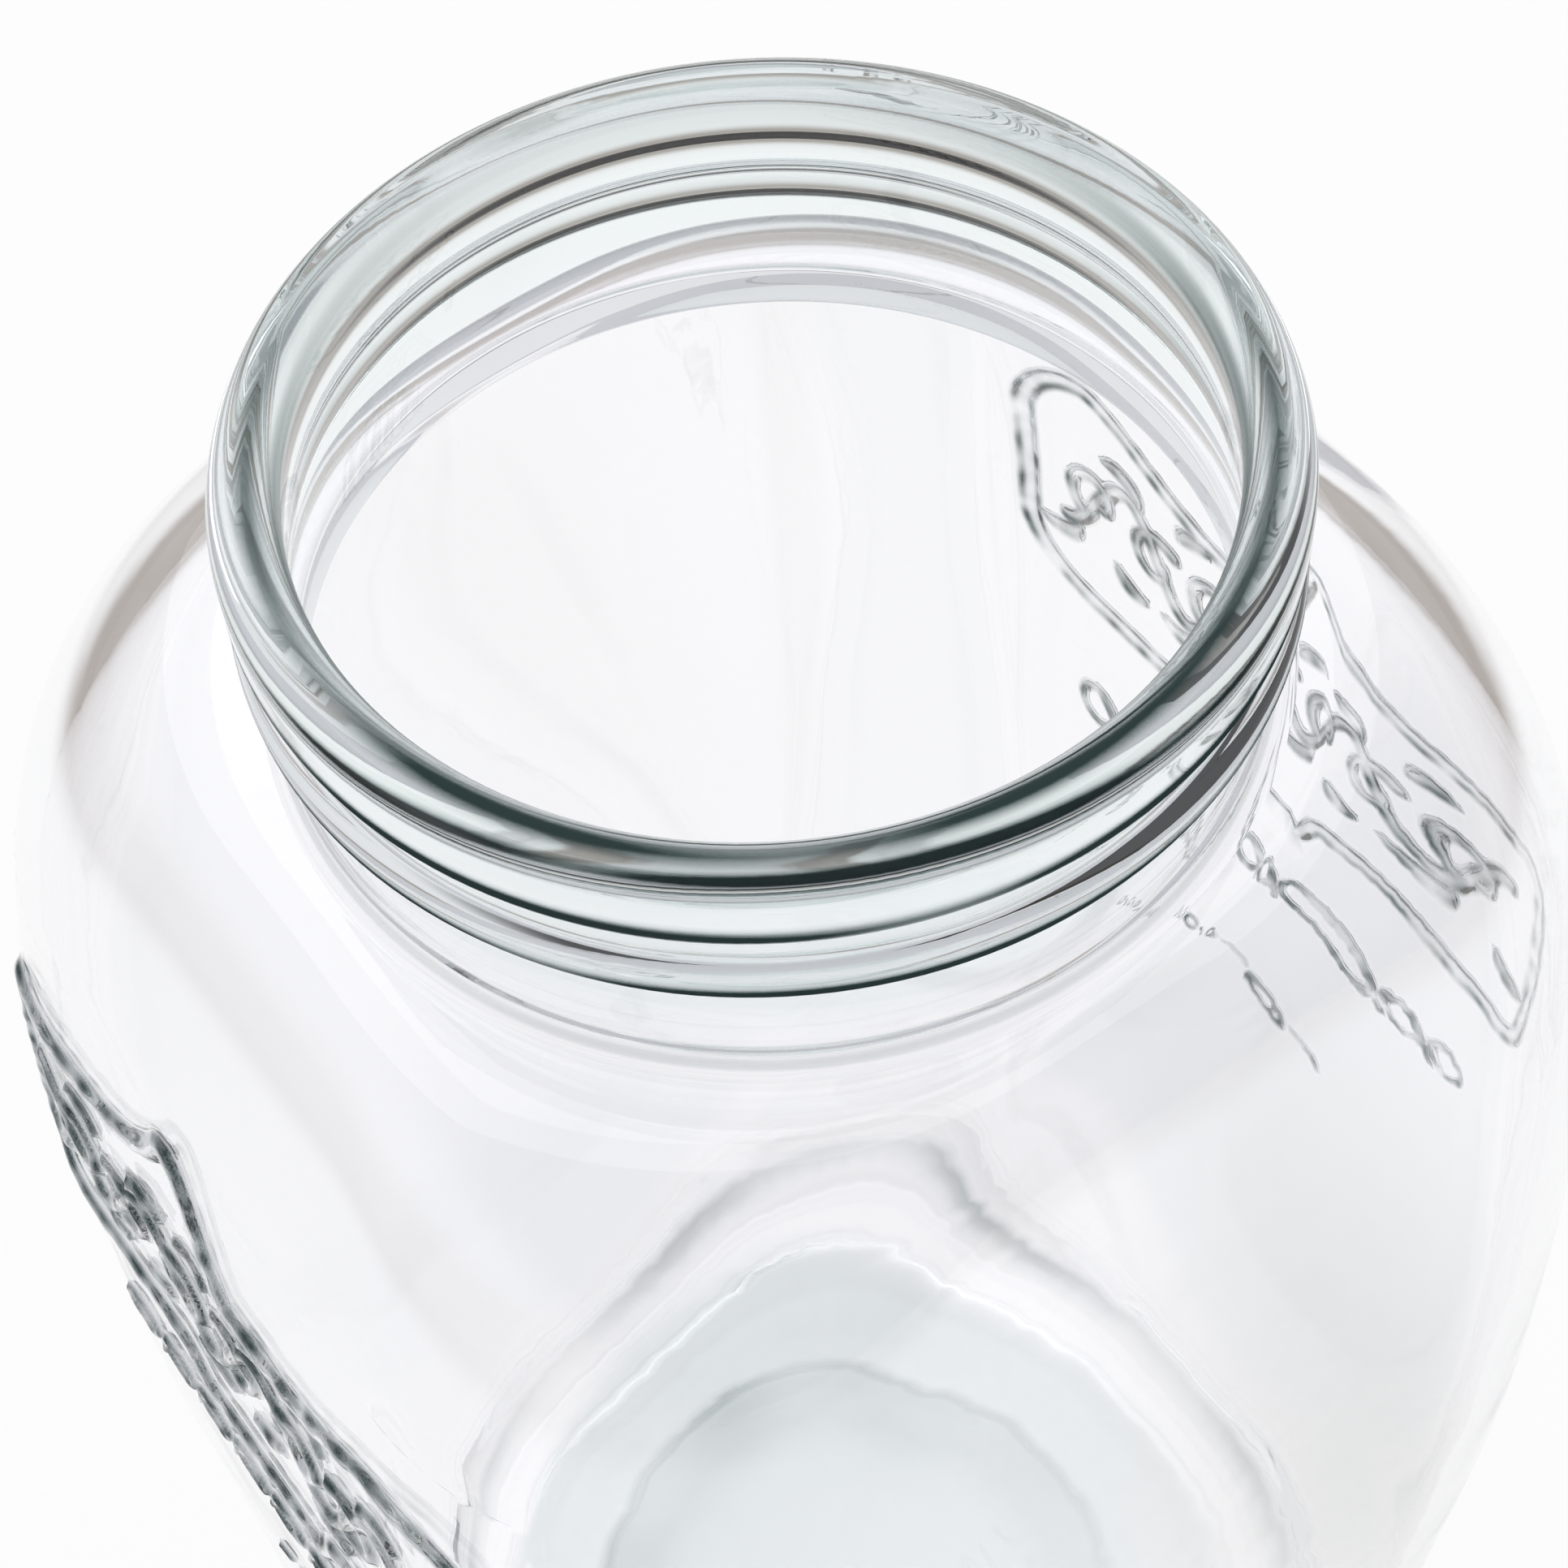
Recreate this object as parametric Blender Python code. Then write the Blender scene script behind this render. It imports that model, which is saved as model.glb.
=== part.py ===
# Glass drink dispenser: a square-shouldered pressed-glass jar with a round beaded
# mouth and an embossed plaque on its front and back walls, and a cam-lever tap
# clamped through the front wall. Metres, +Z up, the front with the tap is -Y.

import math

import bmesh
import bpy
from mathutils import Matrix, Vector

# Jar body
JAR_HEIGHT = 0.345
BODY_WIDTH = 0.170
BODY_DEPTH = 0.180
BODY_CORNER_RADIUS = 0.041
BODY_TAPER = 0.0042
STRAIGHT_WALL_TOP = 0.054
SHOULDER_HEIGHT = 0.144
SHOULDER_POWER_SHARE = 2.7
WALL_THICKNESS = 0.0042

# Jar base, which turns from the body's square towards a round foot
FOOT_CORNER_RADIUS = 0.072
FOOT_BLEND_HEIGHT = 0.062
HEEL_RADIUS = 0.010
FOOT_LAND = 0.004
FOOT_RAMP = 0.003
FOOT_RECESS = 0.0015
FOOT_PUSH_UP = 0.0035
FOOT_PUSH_UP_RADIUS = 0.046
FLOOR_THICKNESS = 0.008
INNER_HEEL_RADIUS = 0.008
FLOOR_DOME_RADIUS = 0.052
FLOOR_DOME_RISE = 0.0045
FLOOR_DOME_SLOPE = 0.005
FLOOR_CENTRE_RADIUS = 0.030
FLOOR_CENTRE_RISE = 0.0015

# Jar neck and mouth
NECK_HEIGHT = 0.035
NECK_RADIUS = 0.0575
NECK_FILLET_RADIUS = 0.003
LIP_RADIUS = 0.060
LIP_HEIGHT = 0.0105
LIP_TOP_ROUND = 0.0035
LIP_UNDER_ROUND = 0.0026
GROOVE_DEPTH = 0.0022
BEAD_RADIUS = 0.0602
BEAD_TUBE_RADIUS = 0.0030
BEAD_DROP = 0.0175
BEAD_ARC_SHARE = 0.8
MOUTH_RADIUS = 0.052
NECK_INNER_RADIUS = 0.0545
NECK_INNER_FILLET_RADIUS = 0.0025

# Embossed plaque, measured across the wall and up it
PLAQUE_HALF_WIDTH = 0.0565
PLAQUE_DROP = 0.059
PLAQUE_HEIGHT = 0.045
PLAQUE_ROUND_CORNER = 0.013
PLAQUE_TIGHT_CORNER = 0.006
PLAQUE_LOBE_PLACE = 0.017
PLAQUE_LOBE_STEP = 0.006
PLAQUE_LOBE_DROP = 0.007
PLAQUE_PEAK_PLACE = -0.011
PLAQUE_PEAK_RISE = 0.015
PLAQUE_PEAK_FADE = 0.009
PLAQUE_FALL_START = -0.010
PLAQUE_FALL_WIDTH = 0.012
PLAQUE_SADDLE_DROP = 0.006
PLAQUE_SADDLE_PLACE = 0.005
PLAQUE_SADDLE_REACH = 0.041
PLAQUE_SADDLE_RISE = 0.011
PLAQUE_SADDLE_POWER_SHARE = 1.5
RIB_WIDTH = 0.0038
RIB_CROWN_WIDTH = 0.0018
RIB_HEIGHT = 0.0014
RIB_ROOT = 0.0013

# Tap: mounting through the front wall
TAP_HEIGHT = 0.036
SHANK_RADIUS = 0.0076
SHANK_ROOT_RADIUS = 0.0069
THREAD_PITCH = 0.003
THREAD_RIDGE_SHARES = (0.15, 0.40, 0.60, 0.85)
SHANK_OVERRUN = 0.004
HOLE_CLEARANCE = 0.0006
FLANGE_RADIUS = 0.015
FLANGE_THICKNESS = 0.0037
FLANGE_EDGE_ROUND = 0.001
OUTER_GASKET_RADIUS = 0.0142
OUTER_GASKET_THICKNESS = 0.002
INNER_GASKET_RADIUS = 0.0135
INNER_GASKET_THICKNESS = 0.002
WASHER_RADIUS = 0.0132
WASHER_THICKNESS = 0.0015
NUT_THICKNESS = 0.008
NUT_CORNER_RADIUS = 0.0133
NUT_COLLAR_RADIUS = 0.0105
NUT_COLLAR_HEIGHT = 0.0015
SEAT_GAP = 0.0003
BORE_GAP = 0.0004

# Tap: barrel, outlet and bonnet
BARREL_REACH = 0.0145
ARM_RADIUS = 0.0078
FLOW_BORE_RADIUS = 0.004
BARREL_RADIUS = 0.0105
BARREL_RISE = 0.016
BARREL_DROP = 0.013
CHAMBER_RADIUS = 0.0075
SEAT_DROP = 0.007
OUTLET_RADIUS = 0.0042
OUTLET_DROP = 0.027
NOZZLE_TOP_RADIUS = 0.0080
NOZZLE_TIP_RADIUS = 0.0062
NOZZLE_STEP_HEIGHT = 0.003
BONNET_SKIRT = 0.006
BONNET_WALL = 0.0015
BONNET_PLATE = 0.0037
BONNET_EDGE_ROUND = 0.0008
BONNET_GRIP_DEPTH = 0.0005

# Tap: valve and lever
STEM_RADIUS = 0.002
STEM_EYE_RADIUS = 0.004
SEAL_RADIUS = 0.0058
SEAL_HEIGHT = 0.006
SEAL_CHAMFER = 0.0014
SEAL_SOCKET_DEPTH = 0.004
SPRING_RADIUS = 0.0043
SPRING_WIRE_RADIUS = 0.0004
CAM_BASE = 0.0065
CAM_RISE_PER_RADIAN = 0.004
CAM_BACK = 0.0045
CHEEK_THICKNESS = 0.0025
CHEEK_GAP = 0.0003
ROOT_GAP = 0.0012
HUB_TOP = 0.013
HANDLE_LENGTH = 0.038
HANDLE_WIDTH = 0.014
HANDLE_ROOT_DEPTH = 0.0075
HANDLE_TIP_DEPTH = 0.0040
HANDLE_LEAN = 0.0050
HANDLE_EDGE_ROUND = 0.0008
PIN_RADIUS = 0.00125
PIN_CLEARANCE = 0.00008
PIN_HEAD_RADIUS = 0.0022
PIN_HEAD_THICKNESS = 0.0008
CUT_OVERRUN = 0.003

# Counts and angles
JAR_SEGMENTS = 48
ROUND_SEGMENTS = 32
SMALL_SEGMENTS = 24
GRIP_RIBS = 20
SPRING_TURNS = 5
SPRING_POINTS_PER_TURN = 9
LEVER_TRAVEL = math.radians(50)
CAM_OVERTRAVEL = math.radians(4)
RIGHT_ANGLE = math.pi / 2
FULL_TURN = 2 * math.pi

# Places worked out from the sizes above, in the jar's own frame
SHOULDER_TOP = JAR_HEIGHT - NECK_HEIGHT
SHOULDER_START = SHOULDER_TOP - SHOULDER_HEIGHT
PLAQUE_TOP = SHOULDER_TOP - PLAQUE_DROP
PLAQUE_BOTTOM = PLAQUE_TOP - PLAQUE_HEIGHT
NECK_FOOT_RADIUS = NECK_RADIUS + NECK_FILLET_RADIUS
FRONT_WALL = BODY_DEPTH / 2 - BODY_TAPER
HOLE_RADIUS = SHANK_RADIUS + HOLE_CLEARANCE
FLANGE_BACK = FRONT_WALL + OUTER_GASKET_THICKNESS + 2 * SEAT_GAP
FLANGE_FRONT = FLANGE_BACK + FLANGE_THICKNESS
BARREL_AXIS = FLANGE_FRONT + BARREL_REACH
INNER_GASKET_FACE = FRONT_WALL - WALL_THICKNESS - SEAT_GAP
WASHER_FACE = INNER_GASKET_FACE - INNER_GASKET_THICKNESS - SEAT_GAP
NUT_FACE = WASHER_FACE - WASHER_THICKNESS - SEAT_GAP
SHANK_END = NUT_FACE - NUT_THICKNESS - SHANK_OVERRUN
SEAT_HEIGHT = TAP_HEIGHT - SEAT_DROP
BARREL_TOP = TAP_HEIGHT + BARREL_RISE
BONNET_RADIUS = BARREL_RADIUS + SEAT_GAP + BONNET_WALL
BONNET_UNDERSIDE = BARREL_TOP + SEAT_GAP
BONNET_TOP = BONNET_UNDERSIDE + BONNET_PLATE
PIVOT_HEIGHT = BONNET_TOP + SEAT_GAP + CAM_BASE
SEAL_BOTTOM = SEAT_HEIGHT + SEAT_GAP
SEAL_TOP = SEAL_BOTTOM + SEAL_HEIGHT
STEM_BOTTOM = SEAL_TOP - SEAL_SOCKET_DEPTH + SEAT_GAP
PIN_HOLE_RADIUS = PIN_RADIUS + PIN_CLEARANCE
CHEEK_INNER = STEM_RADIUS + CHEEK_GAP
CHEEK_OUTER = CHEEK_INNER + CHEEK_THICKNESS


def clear_scene():
    for item in list(bpy.data.objects):
        bpy.data.objects.remove(item, do_unlink=True)


def make_material(name, colour, roughness, metallic=0.0, transmission=0.0):
    material = bpy.data.materials.new(name)
    material.use_nodes = True
    shader = material.node_tree.nodes["Principled BSDF"]
    shader.inputs["Base Color"].default_value = (*colour, 1.0)
    shader.inputs["Roughness"].default_value = roughness
    shader.inputs["Metallic"].default_value = metallic
    shader.inputs["Transmission Weight"].default_value = transmission
    material.diffuse_color = (*colour, 1.0)
    return material


def clear_glass():
    return make_material("clear_glass", (0.93, 0.97, 0.96), 0.02, transmission=1.0)


def pale_plastic():
    return make_material("pale_plastic", (0.78, 0.79, 0.80), 0.28)


def white_plastic():
    return make_material("white_plastic", (0.86, 0.86, 0.85), 0.45)


def clear_silicone():
    return make_material("clear_silicone", (0.72, 0.74, 0.74), 0.6)


def bright_steel():
    return make_material("bright_steel", (0.66, 0.67, 0.68), 0.25, metallic=1.0)


def finish_mesh(bm, name):
    bmesh.ops.recalc_face_normals(bm, faces=bm.faces)
    mesh = bpy.data.meshes.new(name)
    bm.to_mesh(mesh)
    bm.free()
    return mesh


def add_piece(name, mesh, material, parent, place=(0.0, 0.0, 0.0)):
    mesh.materials.append(material)
    mesh.shade_smooth()
    mesh.set_sharp_from_angle(angle=math.radians(35))
    piece = bpy.data.objects.new(name, mesh)
    piece.location = place
    piece.parent = parent
    bpy.context.collection.objects.link(piece)
    return piece


def add_guide(name, mesh, parent, place=(0.0, 0.0, 0.0)):
    guide = bpy.data.objects.new(name, mesh)
    guide.location = place
    guide.parent = parent
    guide.hide_render = True
    guide.display_type = "WIRE"
    bpy.context.collection.objects.link(guide)
    return guide


def add_boolean(piece, guide, operation, solver="EXACT"):
    modifier = piece.modifiers.new(guide.name, "BOOLEAN")
    modifier.operation = operation
    modifier.solver = solver
    modifier.object = guide


def arc(centre, radius, start, end, steps):
    """Points on an arc in the plane of an outline, from start to end angle."""
    points = []
    for step in range(steps + 1):
        angle = start + (end - start) * step / steps
        points.append((centre[0] + radius * math.cos(angle), centre[1] + radius * math.sin(angle)))
    return points


def ring(half_x, half_y, corner, height):
    """One level of the jar: a rounded rectangle, or a circle when the three sizes agree."""
    points = []
    for step in range(JAR_SEGMENTS):
        angle = FULL_TURN * step / JAR_SEGMENTS
        cosine = math.cos(angle)
        sine = math.sin(angle)
        side_x = 0.0 if step % (JAR_SEGMENTS // 2) == JAR_SEGMENTS // 4 else math.copysign(1, cosine)
        side_y = 0.0 if step % (JAR_SEGMENTS // 2) == 0 else math.copysign(1, sine)
        x = side_x * (half_x - corner) + corner * cosine
        y = side_y * (half_y - corner) + corner * sine
        points.append((x, y, height))
    return points


def loft(rings):
    """Closed skin over a list of rings, capped at the first and the last."""
    bm = bmesh.new()
    levels = []
    for points in rings:
        levels.append([bm.verts.new(point) for point in points])
    count = len(levels[0])
    for lower, upper in zip(levels, levels[1:]):
        for index in range(count):
            after = (index + 1) % count
            bm.faces.new((lower[index], lower[after], upper[after], upper[index]))
    bm.faces.new(list(reversed(levels[0])))
    bm.faces.new(levels[-1])
    return bm


def turn(profile, segments, axis="Z", grip=None):
    """Turns an outline of (radius, height) points; grip shortens radii round the edge."""
    bm = bmesh.new()
    start = [bm.verts.new((radius, 0.0, height)) for radius, height in profile]
    edges = [bm.edges.new((one, two)) for one, two in zip(start, start[1:])]
    if profile[0][0] > 0 and profile[-1][0] > 0:
        edges.append(bm.edges.new((start[-1], start[0])))
    geometry = start + edges
    bmesh.ops.spin(bm, geom=geometry, cent=(0.0, 0.0, 0.0), axis=(0.0, 0.0, 1.0), angle=FULL_TURN,
                   steps=segments, use_merge=True)
    bmesh.ops.remove_doubles(bm, verts=bm.verts, dist=SEAT_GAP / 100)
    if grip is not None:
        grip(bm)
    if axis == "Y":
        bmesh.ops.rotate(bm, verts=bm.verts, matrix=Matrix.Rotation(-RIGHT_ANGLE, 3, "X"))
    if axis == "X":
        bmesh.ops.rotate(bm, verts=bm.verts, matrix=Matrix.Rotation(RIGHT_ANGLE, 3, "Y"))
    return bm


def extrude_outline(outline, half_width):
    """Solid from an outline of (y, z) points, standing symmetrically across X."""
    bm = bmesh.new()
    corners = [bm.verts.new((-half_width, y, z)) for y, z in outline]
    face = bm.faces.new(corners)
    grown = bmesh.ops.extrude_face_region(bm, geom=[face])
    moved = [item for item in grown["geom"] if isinstance(item, bmesh.types.BMVert)]
    bmesh.ops.translate(bm, verts=moved, vec=(2 * half_width, 0.0, 0.0))
    return bm


def smooth_step(share):
    share = min(max(share, 0.0), 1.0)
    return 0.5 - 0.5 * math.cos(math.pi * share)


def wall_corner(height):
    """Corner radius of the walls, which grows towards the round foot."""
    blend = 1 - smooth_step(height / FOOT_BLEND_HEIGHT)
    return BODY_CORNER_RADIUS + (FOOT_CORNER_RADIUS - BODY_CORNER_RADIUS) * blend


def wall_section(height):
    """Half sizes and corner radius of the jar's outside at a height above the heel."""
    if height <= STRAIGHT_WALL_TOP:
        spread = 0.0
    elif height < SHOULDER_START:
        rise = (height - STRAIGHT_WALL_TOP) / (SHOULDER_START - STRAIGHT_WALL_TOP)
        spread = 0.5 - 0.5 * math.cos(math.pi * rise)
    else:
        spread = 1.0
    half_x = BODY_WIDTH / 2 - BODY_TAPER * (1 - spread)
    half_y = BODY_DEPTH / 2 - BODY_TAPER * (1 - spread)
    if height <= SHOULDER_START:
        return half_x, half_y, wall_corner(height)
    rise = min((height - SHOULDER_START) / (SHOULDER_TOP - SHOULDER_START), 1.0)
    share = (1 - rise ** SHOULDER_POWER_SHARE) ** (1 / SHOULDER_POWER_SHARE)
    return blend_to_neck(half_x, half_y, BODY_CORNER_RADIUS, NECK_FOOT_RADIUS, share)


def blend_to_neck(half_x, half_y, corner, neck, share):
    wide_x = neck + (half_x - neck) * share
    wide_y = neck + (half_y - neck) * share
    return wide_x, wide_y, neck + (corner - neck) * share


def shoulder_levels(inset, neck, top, steps):
    """Levels of a shoulder, set in from the outside, from the walls up to the neck's foot."""
    levels = []
    half_x = BODY_WIDTH / 2 - inset
    half_y = BODY_DEPTH / 2 - inset
    corner = BODY_CORNER_RADIUS - inset
    for step in range(1, steps + 1):
        angle = RIGHT_ANGLE * step / steps
        rise = math.sin(angle) ** (2 / SHOULDER_POWER_SHARE)
        share = max(math.cos(angle), 0.0) ** (2 / SHOULDER_POWER_SHARE)
        if step == steps:
            share = 0.0
        height = SHOULDER_START + (top - SHOULDER_START) * rise
        levels.append((*blend_to_neck(half_x, half_y, corner, neck, share), height))
    return levels


def wall_levels(inset, lowest):
    """Levels of the walls from just above the heel to the start of the shoulder."""
    heights = []
    for step in range(6):
        heights.append(lowest + (FOOT_BLEND_HEIGHT - lowest) * step / 5)
    for step in range(1, 5):
        heights.append(FOOT_BLEND_HEIGHT + (SHOULDER_START - FOOT_BLEND_HEIGHT) * step / 4)
    levels = []
    for height in heights:
        half_x, half_y, corner = wall_section(height)
        levels.append((half_x - inset, half_y - inset, corner - inset, height))
    return levels


def inset_level(inset, height):
    half_x, half_y, corner = wall_section(0.0)
    return half_x - inset, half_y - inset, corner - inset, height


def round_level(radius, height):
    return radius, radius, radius, height


def underside_levels():
    land_outer = HEEL_RADIUS
    land_inner = land_outer + FOOT_LAND
    levels = [
        round_level(FOOT_PUSH_UP_RADIUS, FOOT_PUSH_UP),
        inset_level(land_inner + FOOT_RAMP, FOOT_RECESS),
        inset_level(land_inner, 0.0),
    ]
    for across, up in arc((0.0, HEEL_RADIUS), HEEL_RADIUS, -RIGHT_ANGLE, 0.0, 4)[:-1]:
        levels.append(inset_level(HEEL_RADIUS - across, up))
    return levels


def neck_profile():
    """Outside of the neck from the shoulder's fillet up to the lip, then over the rim."""
    bead_height = JAR_HEIGHT - BEAD_DROP
    bead_arc = RIGHT_ANGLE * BEAD_ARC_SHARE
    bead_centre = (BEAD_RADIUS - BEAD_TUBE_RADIUS, bead_height)
    groove_radius = LIP_RADIUS - GROOVE_DEPTH
    lip_bottom = JAR_HEIGHT - LIP_HEIGHT
    under_centre = (LIP_RADIUS - LIP_UNDER_ROUND, lip_bottom + LIP_UNDER_ROUND)
    top_centre = (LIP_RADIUS - LIP_TOP_ROUND, JAR_HEIGHT - LIP_TOP_ROUND)
    inner_centre = (MOUTH_RADIUS + LIP_TOP_ROUND, JAR_HEIGHT - LIP_TOP_ROUND)
    fillet_centre = (NECK_FOOT_RADIUS, SHOULDER_TOP + NECK_FILLET_RADIUS)
    points = arc(fillet_centre, NECK_FILLET_RADIUS, -RIGHT_ANGLE, -2 * RIGHT_ANGLE, 3)[1:]
    points += arc(bead_centre, BEAD_TUBE_RADIUS, -bead_arc, bead_arc, 5)
    points.append((groove_radius, (bead_height + BEAD_TUBE_RADIUS + lip_bottom) / 2))
    points += arc(under_centre, LIP_UNDER_ROUND, -bead_arc, 0.0, 3)
    points += arc(top_centre, LIP_TOP_ROUND, 0.0, RIGHT_ANGLE, 4)
    points += arc(inner_centre, LIP_TOP_ROUND, RIGHT_ANGLE, 2 * RIGHT_ANGLE, 4)
    return points


def neck_inside():
    """Inside of the neck from the mouth down to the inner shoulder."""
    foot = SHOULDER_TOP - WALL_THICKNESS
    centre = (NECK_INNER_RADIUS + NECK_INNER_FILLET_RADIUS, foot + NECK_INNER_FILLET_RADIUS)
    middle = ((MOUTH_RADIUS + NECK_INNER_RADIUS) / 2, JAR_HEIGHT - LIP_HEIGHT)
    curve = arc(centre, NECK_INNER_FILLET_RADIUS, 2 * RIGHT_ANGLE, 3 * RIGHT_ANGLE, 3)
    return [middle] + curve[:-1]


def floor_levels():
    """Inside of the base, from the inner heel to the middle of the pushed-up dome."""
    levels = []
    curve = arc((0.0, INNER_HEEL_RADIUS), INNER_HEEL_RADIUS, 0.0, -RIGHT_ANGLE, 4)
    for across, up in curve[1:]:
        inset = WALL_THICKNESS + INNER_HEEL_RADIUS - across
        levels.append(inset_level(inset, FLOOR_THICKNESS + up))
    dome_top = FLOOR_THICKNESS + FLOOR_DOME_RISE
    levels.append(round_level(FLOOR_DOME_RADIUS, FLOOR_THICKNESS))
    levels.append(round_level(FLOOR_DOME_RADIUS - FLOOR_DOME_SLOPE, dome_top))
    levels.append(round_level(FLOOR_CENTRE_RADIUS, dome_top + FLOOR_CENTRE_RISE))
    return levels


def jar_levels():
    inner_top = SHOULDER_TOP - WALL_THICKNESS
    inner_neck = NECK_INNER_RADIUS + NECK_INNER_FILLET_RADIUS
    levels = underside_levels()
    levels += wall_levels(0.0, HEEL_RADIUS)
    levels += shoulder_levels(0.0, NECK_FOOT_RADIUS, SHOULDER_TOP, 8)
    levels += [round_level(radius, height) for radius, height in neck_profile()]
    levels += [round_level(radius, height) for radius, height in neck_inside()]
    levels += reversed(shoulder_levels(WALL_THICKNESS, inner_neck, inner_top, 8))
    levels += reversed(wall_levels(WALL_THICKNESS, FLOOR_THICKNESS + INNER_HEEL_RADIUS))
    levels += floor_levels()
    return levels


def plaque_low_edge(across):
    """Height of the plaque's lower edge, which drops into a lobe in the middle."""
    lobe = smooth_step((PLAQUE_LOBE_PLACE + PLAQUE_LOBE_STEP / 2 - abs(across)) / PLAQUE_LOBE_STEP)
    return PLAQUE_BOTTOM - PLAQUE_LOBE_DROP * lobe


def plaque_high_edge(across):
    """Height of the upper edge: a shelf, a peak that falls steeply, then a rising saddle."""
    peak = PLAQUE_TOP + PLAQUE_PEAK_RISE * math.exp(-abs(across - PLAQUE_PEAK_PLACE) / PLAQUE_PEAK_FADE)
    if across <= PLAQUE_PEAK_PLACE:
        return peak
    past = smooth_step((across - PLAQUE_SADDLE_PLACE) / PLAQUE_SADDLE_REACH)
    saddle = PLAQUE_TOP - PLAQUE_SADDLE_DROP + PLAQUE_SADDLE_RISE * past ** PLAQUE_SADDLE_POWER_SHARE
    fall = smooth_step((across - PLAQUE_FALL_START) / PLAQUE_FALL_WIDTH)
    return (PLAQUE_TOP + PLAQUE_PEAK_RISE) * (1 - fall) + saddle * fall


def plaque_corner(side, height, radius, start):
    """A rounded corner of the plaque on its left (-1) or right (1) end."""
    centre = (side * (PLAQUE_HALF_WIDTH - radius), height)
    return arc(centre, radius, start, start + RIGHT_ANGLE, 5)


def edge_stations(start, end, steps):
    return [start + (end - start) * step / steps for step in range(1, steps)]


def plaque_outline():
    """The rib's centre line as a closed loop of (across, height) points, seen from outside."""
    left = -PLAQUE_HALF_WIDTH + PLAQUE_TIGHT_CORNER
    right = PLAQUE_HALF_WIDTH - PLAQUE_ROUND_CORNER
    low = plaque_low_edge(right)
    points = plaque_corner(1, low + PLAQUE_ROUND_CORNER, PLAQUE_ROUND_CORNER, -RIGHT_ANGLE)
    points += plaque_corner(1, plaque_high_edge(right) - PLAQUE_ROUND_CORNER, PLAQUE_ROUND_CORNER, 0.0)
    points += [(across, plaque_high_edge(across)) for across in edge_stations(right, left, 34)]
    points += plaque_corner(-1, plaque_high_edge(left) - PLAQUE_TIGHT_CORNER, PLAQUE_TIGHT_CORNER, RIGHT_ANGLE)
    points += plaque_corner(-1, low + PLAQUE_TIGHT_CORNER, PLAQUE_TIGHT_CORNER, 2 * RIGHT_ANGLE)
    points += [(across, plaque_low_edge(across)) for across in edge_stations(left, right, 28)]
    return points


def wall_face(across, height):
    """How far the outside of the front or back wall stands from the jar's axis."""
    half_x, half_y, corner = wall_section(height)
    past = abs(across) - (half_x - corner)
    if past <= 0:
        return half_y
    return half_y - corner + math.sqrt(corner ** 2 - past ** 2)


def plaque_rib(side):
    """Raised rib along the plaque's outline, rooted in the wall; side is -1 front, 1 back.

    The back plaque is the front one turned half round the jar's axis.
    """
    outline = plaque_outline()
    count = len(outline)
    bm = bmesh.new()
    strands = [[], [], [], []]
    for index, (across, height) in enumerate(outline):
        before = outline[index - 1]
        after = outline[(index + 1) % count]
        along = Vector((after[0] - before[0], after[1] - before[1])).normalized()
        square = Vector((along.y, -along.x))
        section = (
            (RIB_WIDTH / 2, -RIB_ROOT),
            (RIB_CROWN_WIDTH / 2, RIB_HEIGHT),
            (-RIB_CROWN_WIDTH / 2, RIB_HEIGHT),
            (-RIB_WIDTH / 2, -RIB_ROOT),
        )
        for strand, (offset, lift) in zip(strands, section):
            x = -side * (across + square.x * offset)
            z = height + square.y * offset
            strand.append(bm.verts.new((x, side * (wall_face(x, z) + lift), z)))
    for strand, following in zip(strands, strands[1:] + strands[:1]):
        for index in range(count):
            after = (index + 1) % count
            bm.faces.new((strand[index], strand[after], following[after], following[index]))
    return finish_mesh(bm, "plaque_rib")


def jar_axis_shift():
    """Puts the row's origin under the middle of the whole object, tap included."""
    front_reach = BARREL_AXIS + BONNET_RADIUS
    back_reach = wall_face(0.0, plaque_low_edge(0.0)) + RIB_HEIGHT
    return (front_reach - back_reach) / 2


def round_cutter(radius, low, high, segments, axis="Z"):
    profile = [(0.0, low), (radius, low), (radius, high), (0.0, high)]
    return turn(profile, segments, axis)


def make_jar(parent, glass):
    rings = [ring(*level) for level in jar_levels()]
    jar = add_piece("jar", finish_mesh(loft(rings), "jar"), glass, parent)
    for name, side in (("front_plaque_rib", -1), ("back_plaque_rib", 1)):
        add_boolean(jar, add_guide(name, plaque_rib(side), parent), "UNION")
    low = -FRONT_WALL - CUT_OVERRUN
    high = -FRONT_WALL + WALL_THICKNESS + CUT_OVERRUN
    hole = finish_mesh(round_cutter(HOLE_RADIUS, low, high, ROUND_SEGMENTS, "Y"), "tap_hole")
    add_boolean(jar, add_guide("tap_hole", hole, parent, (0.0, 0.0, TAP_HEIGHT)), "DIFFERENCE")


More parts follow.
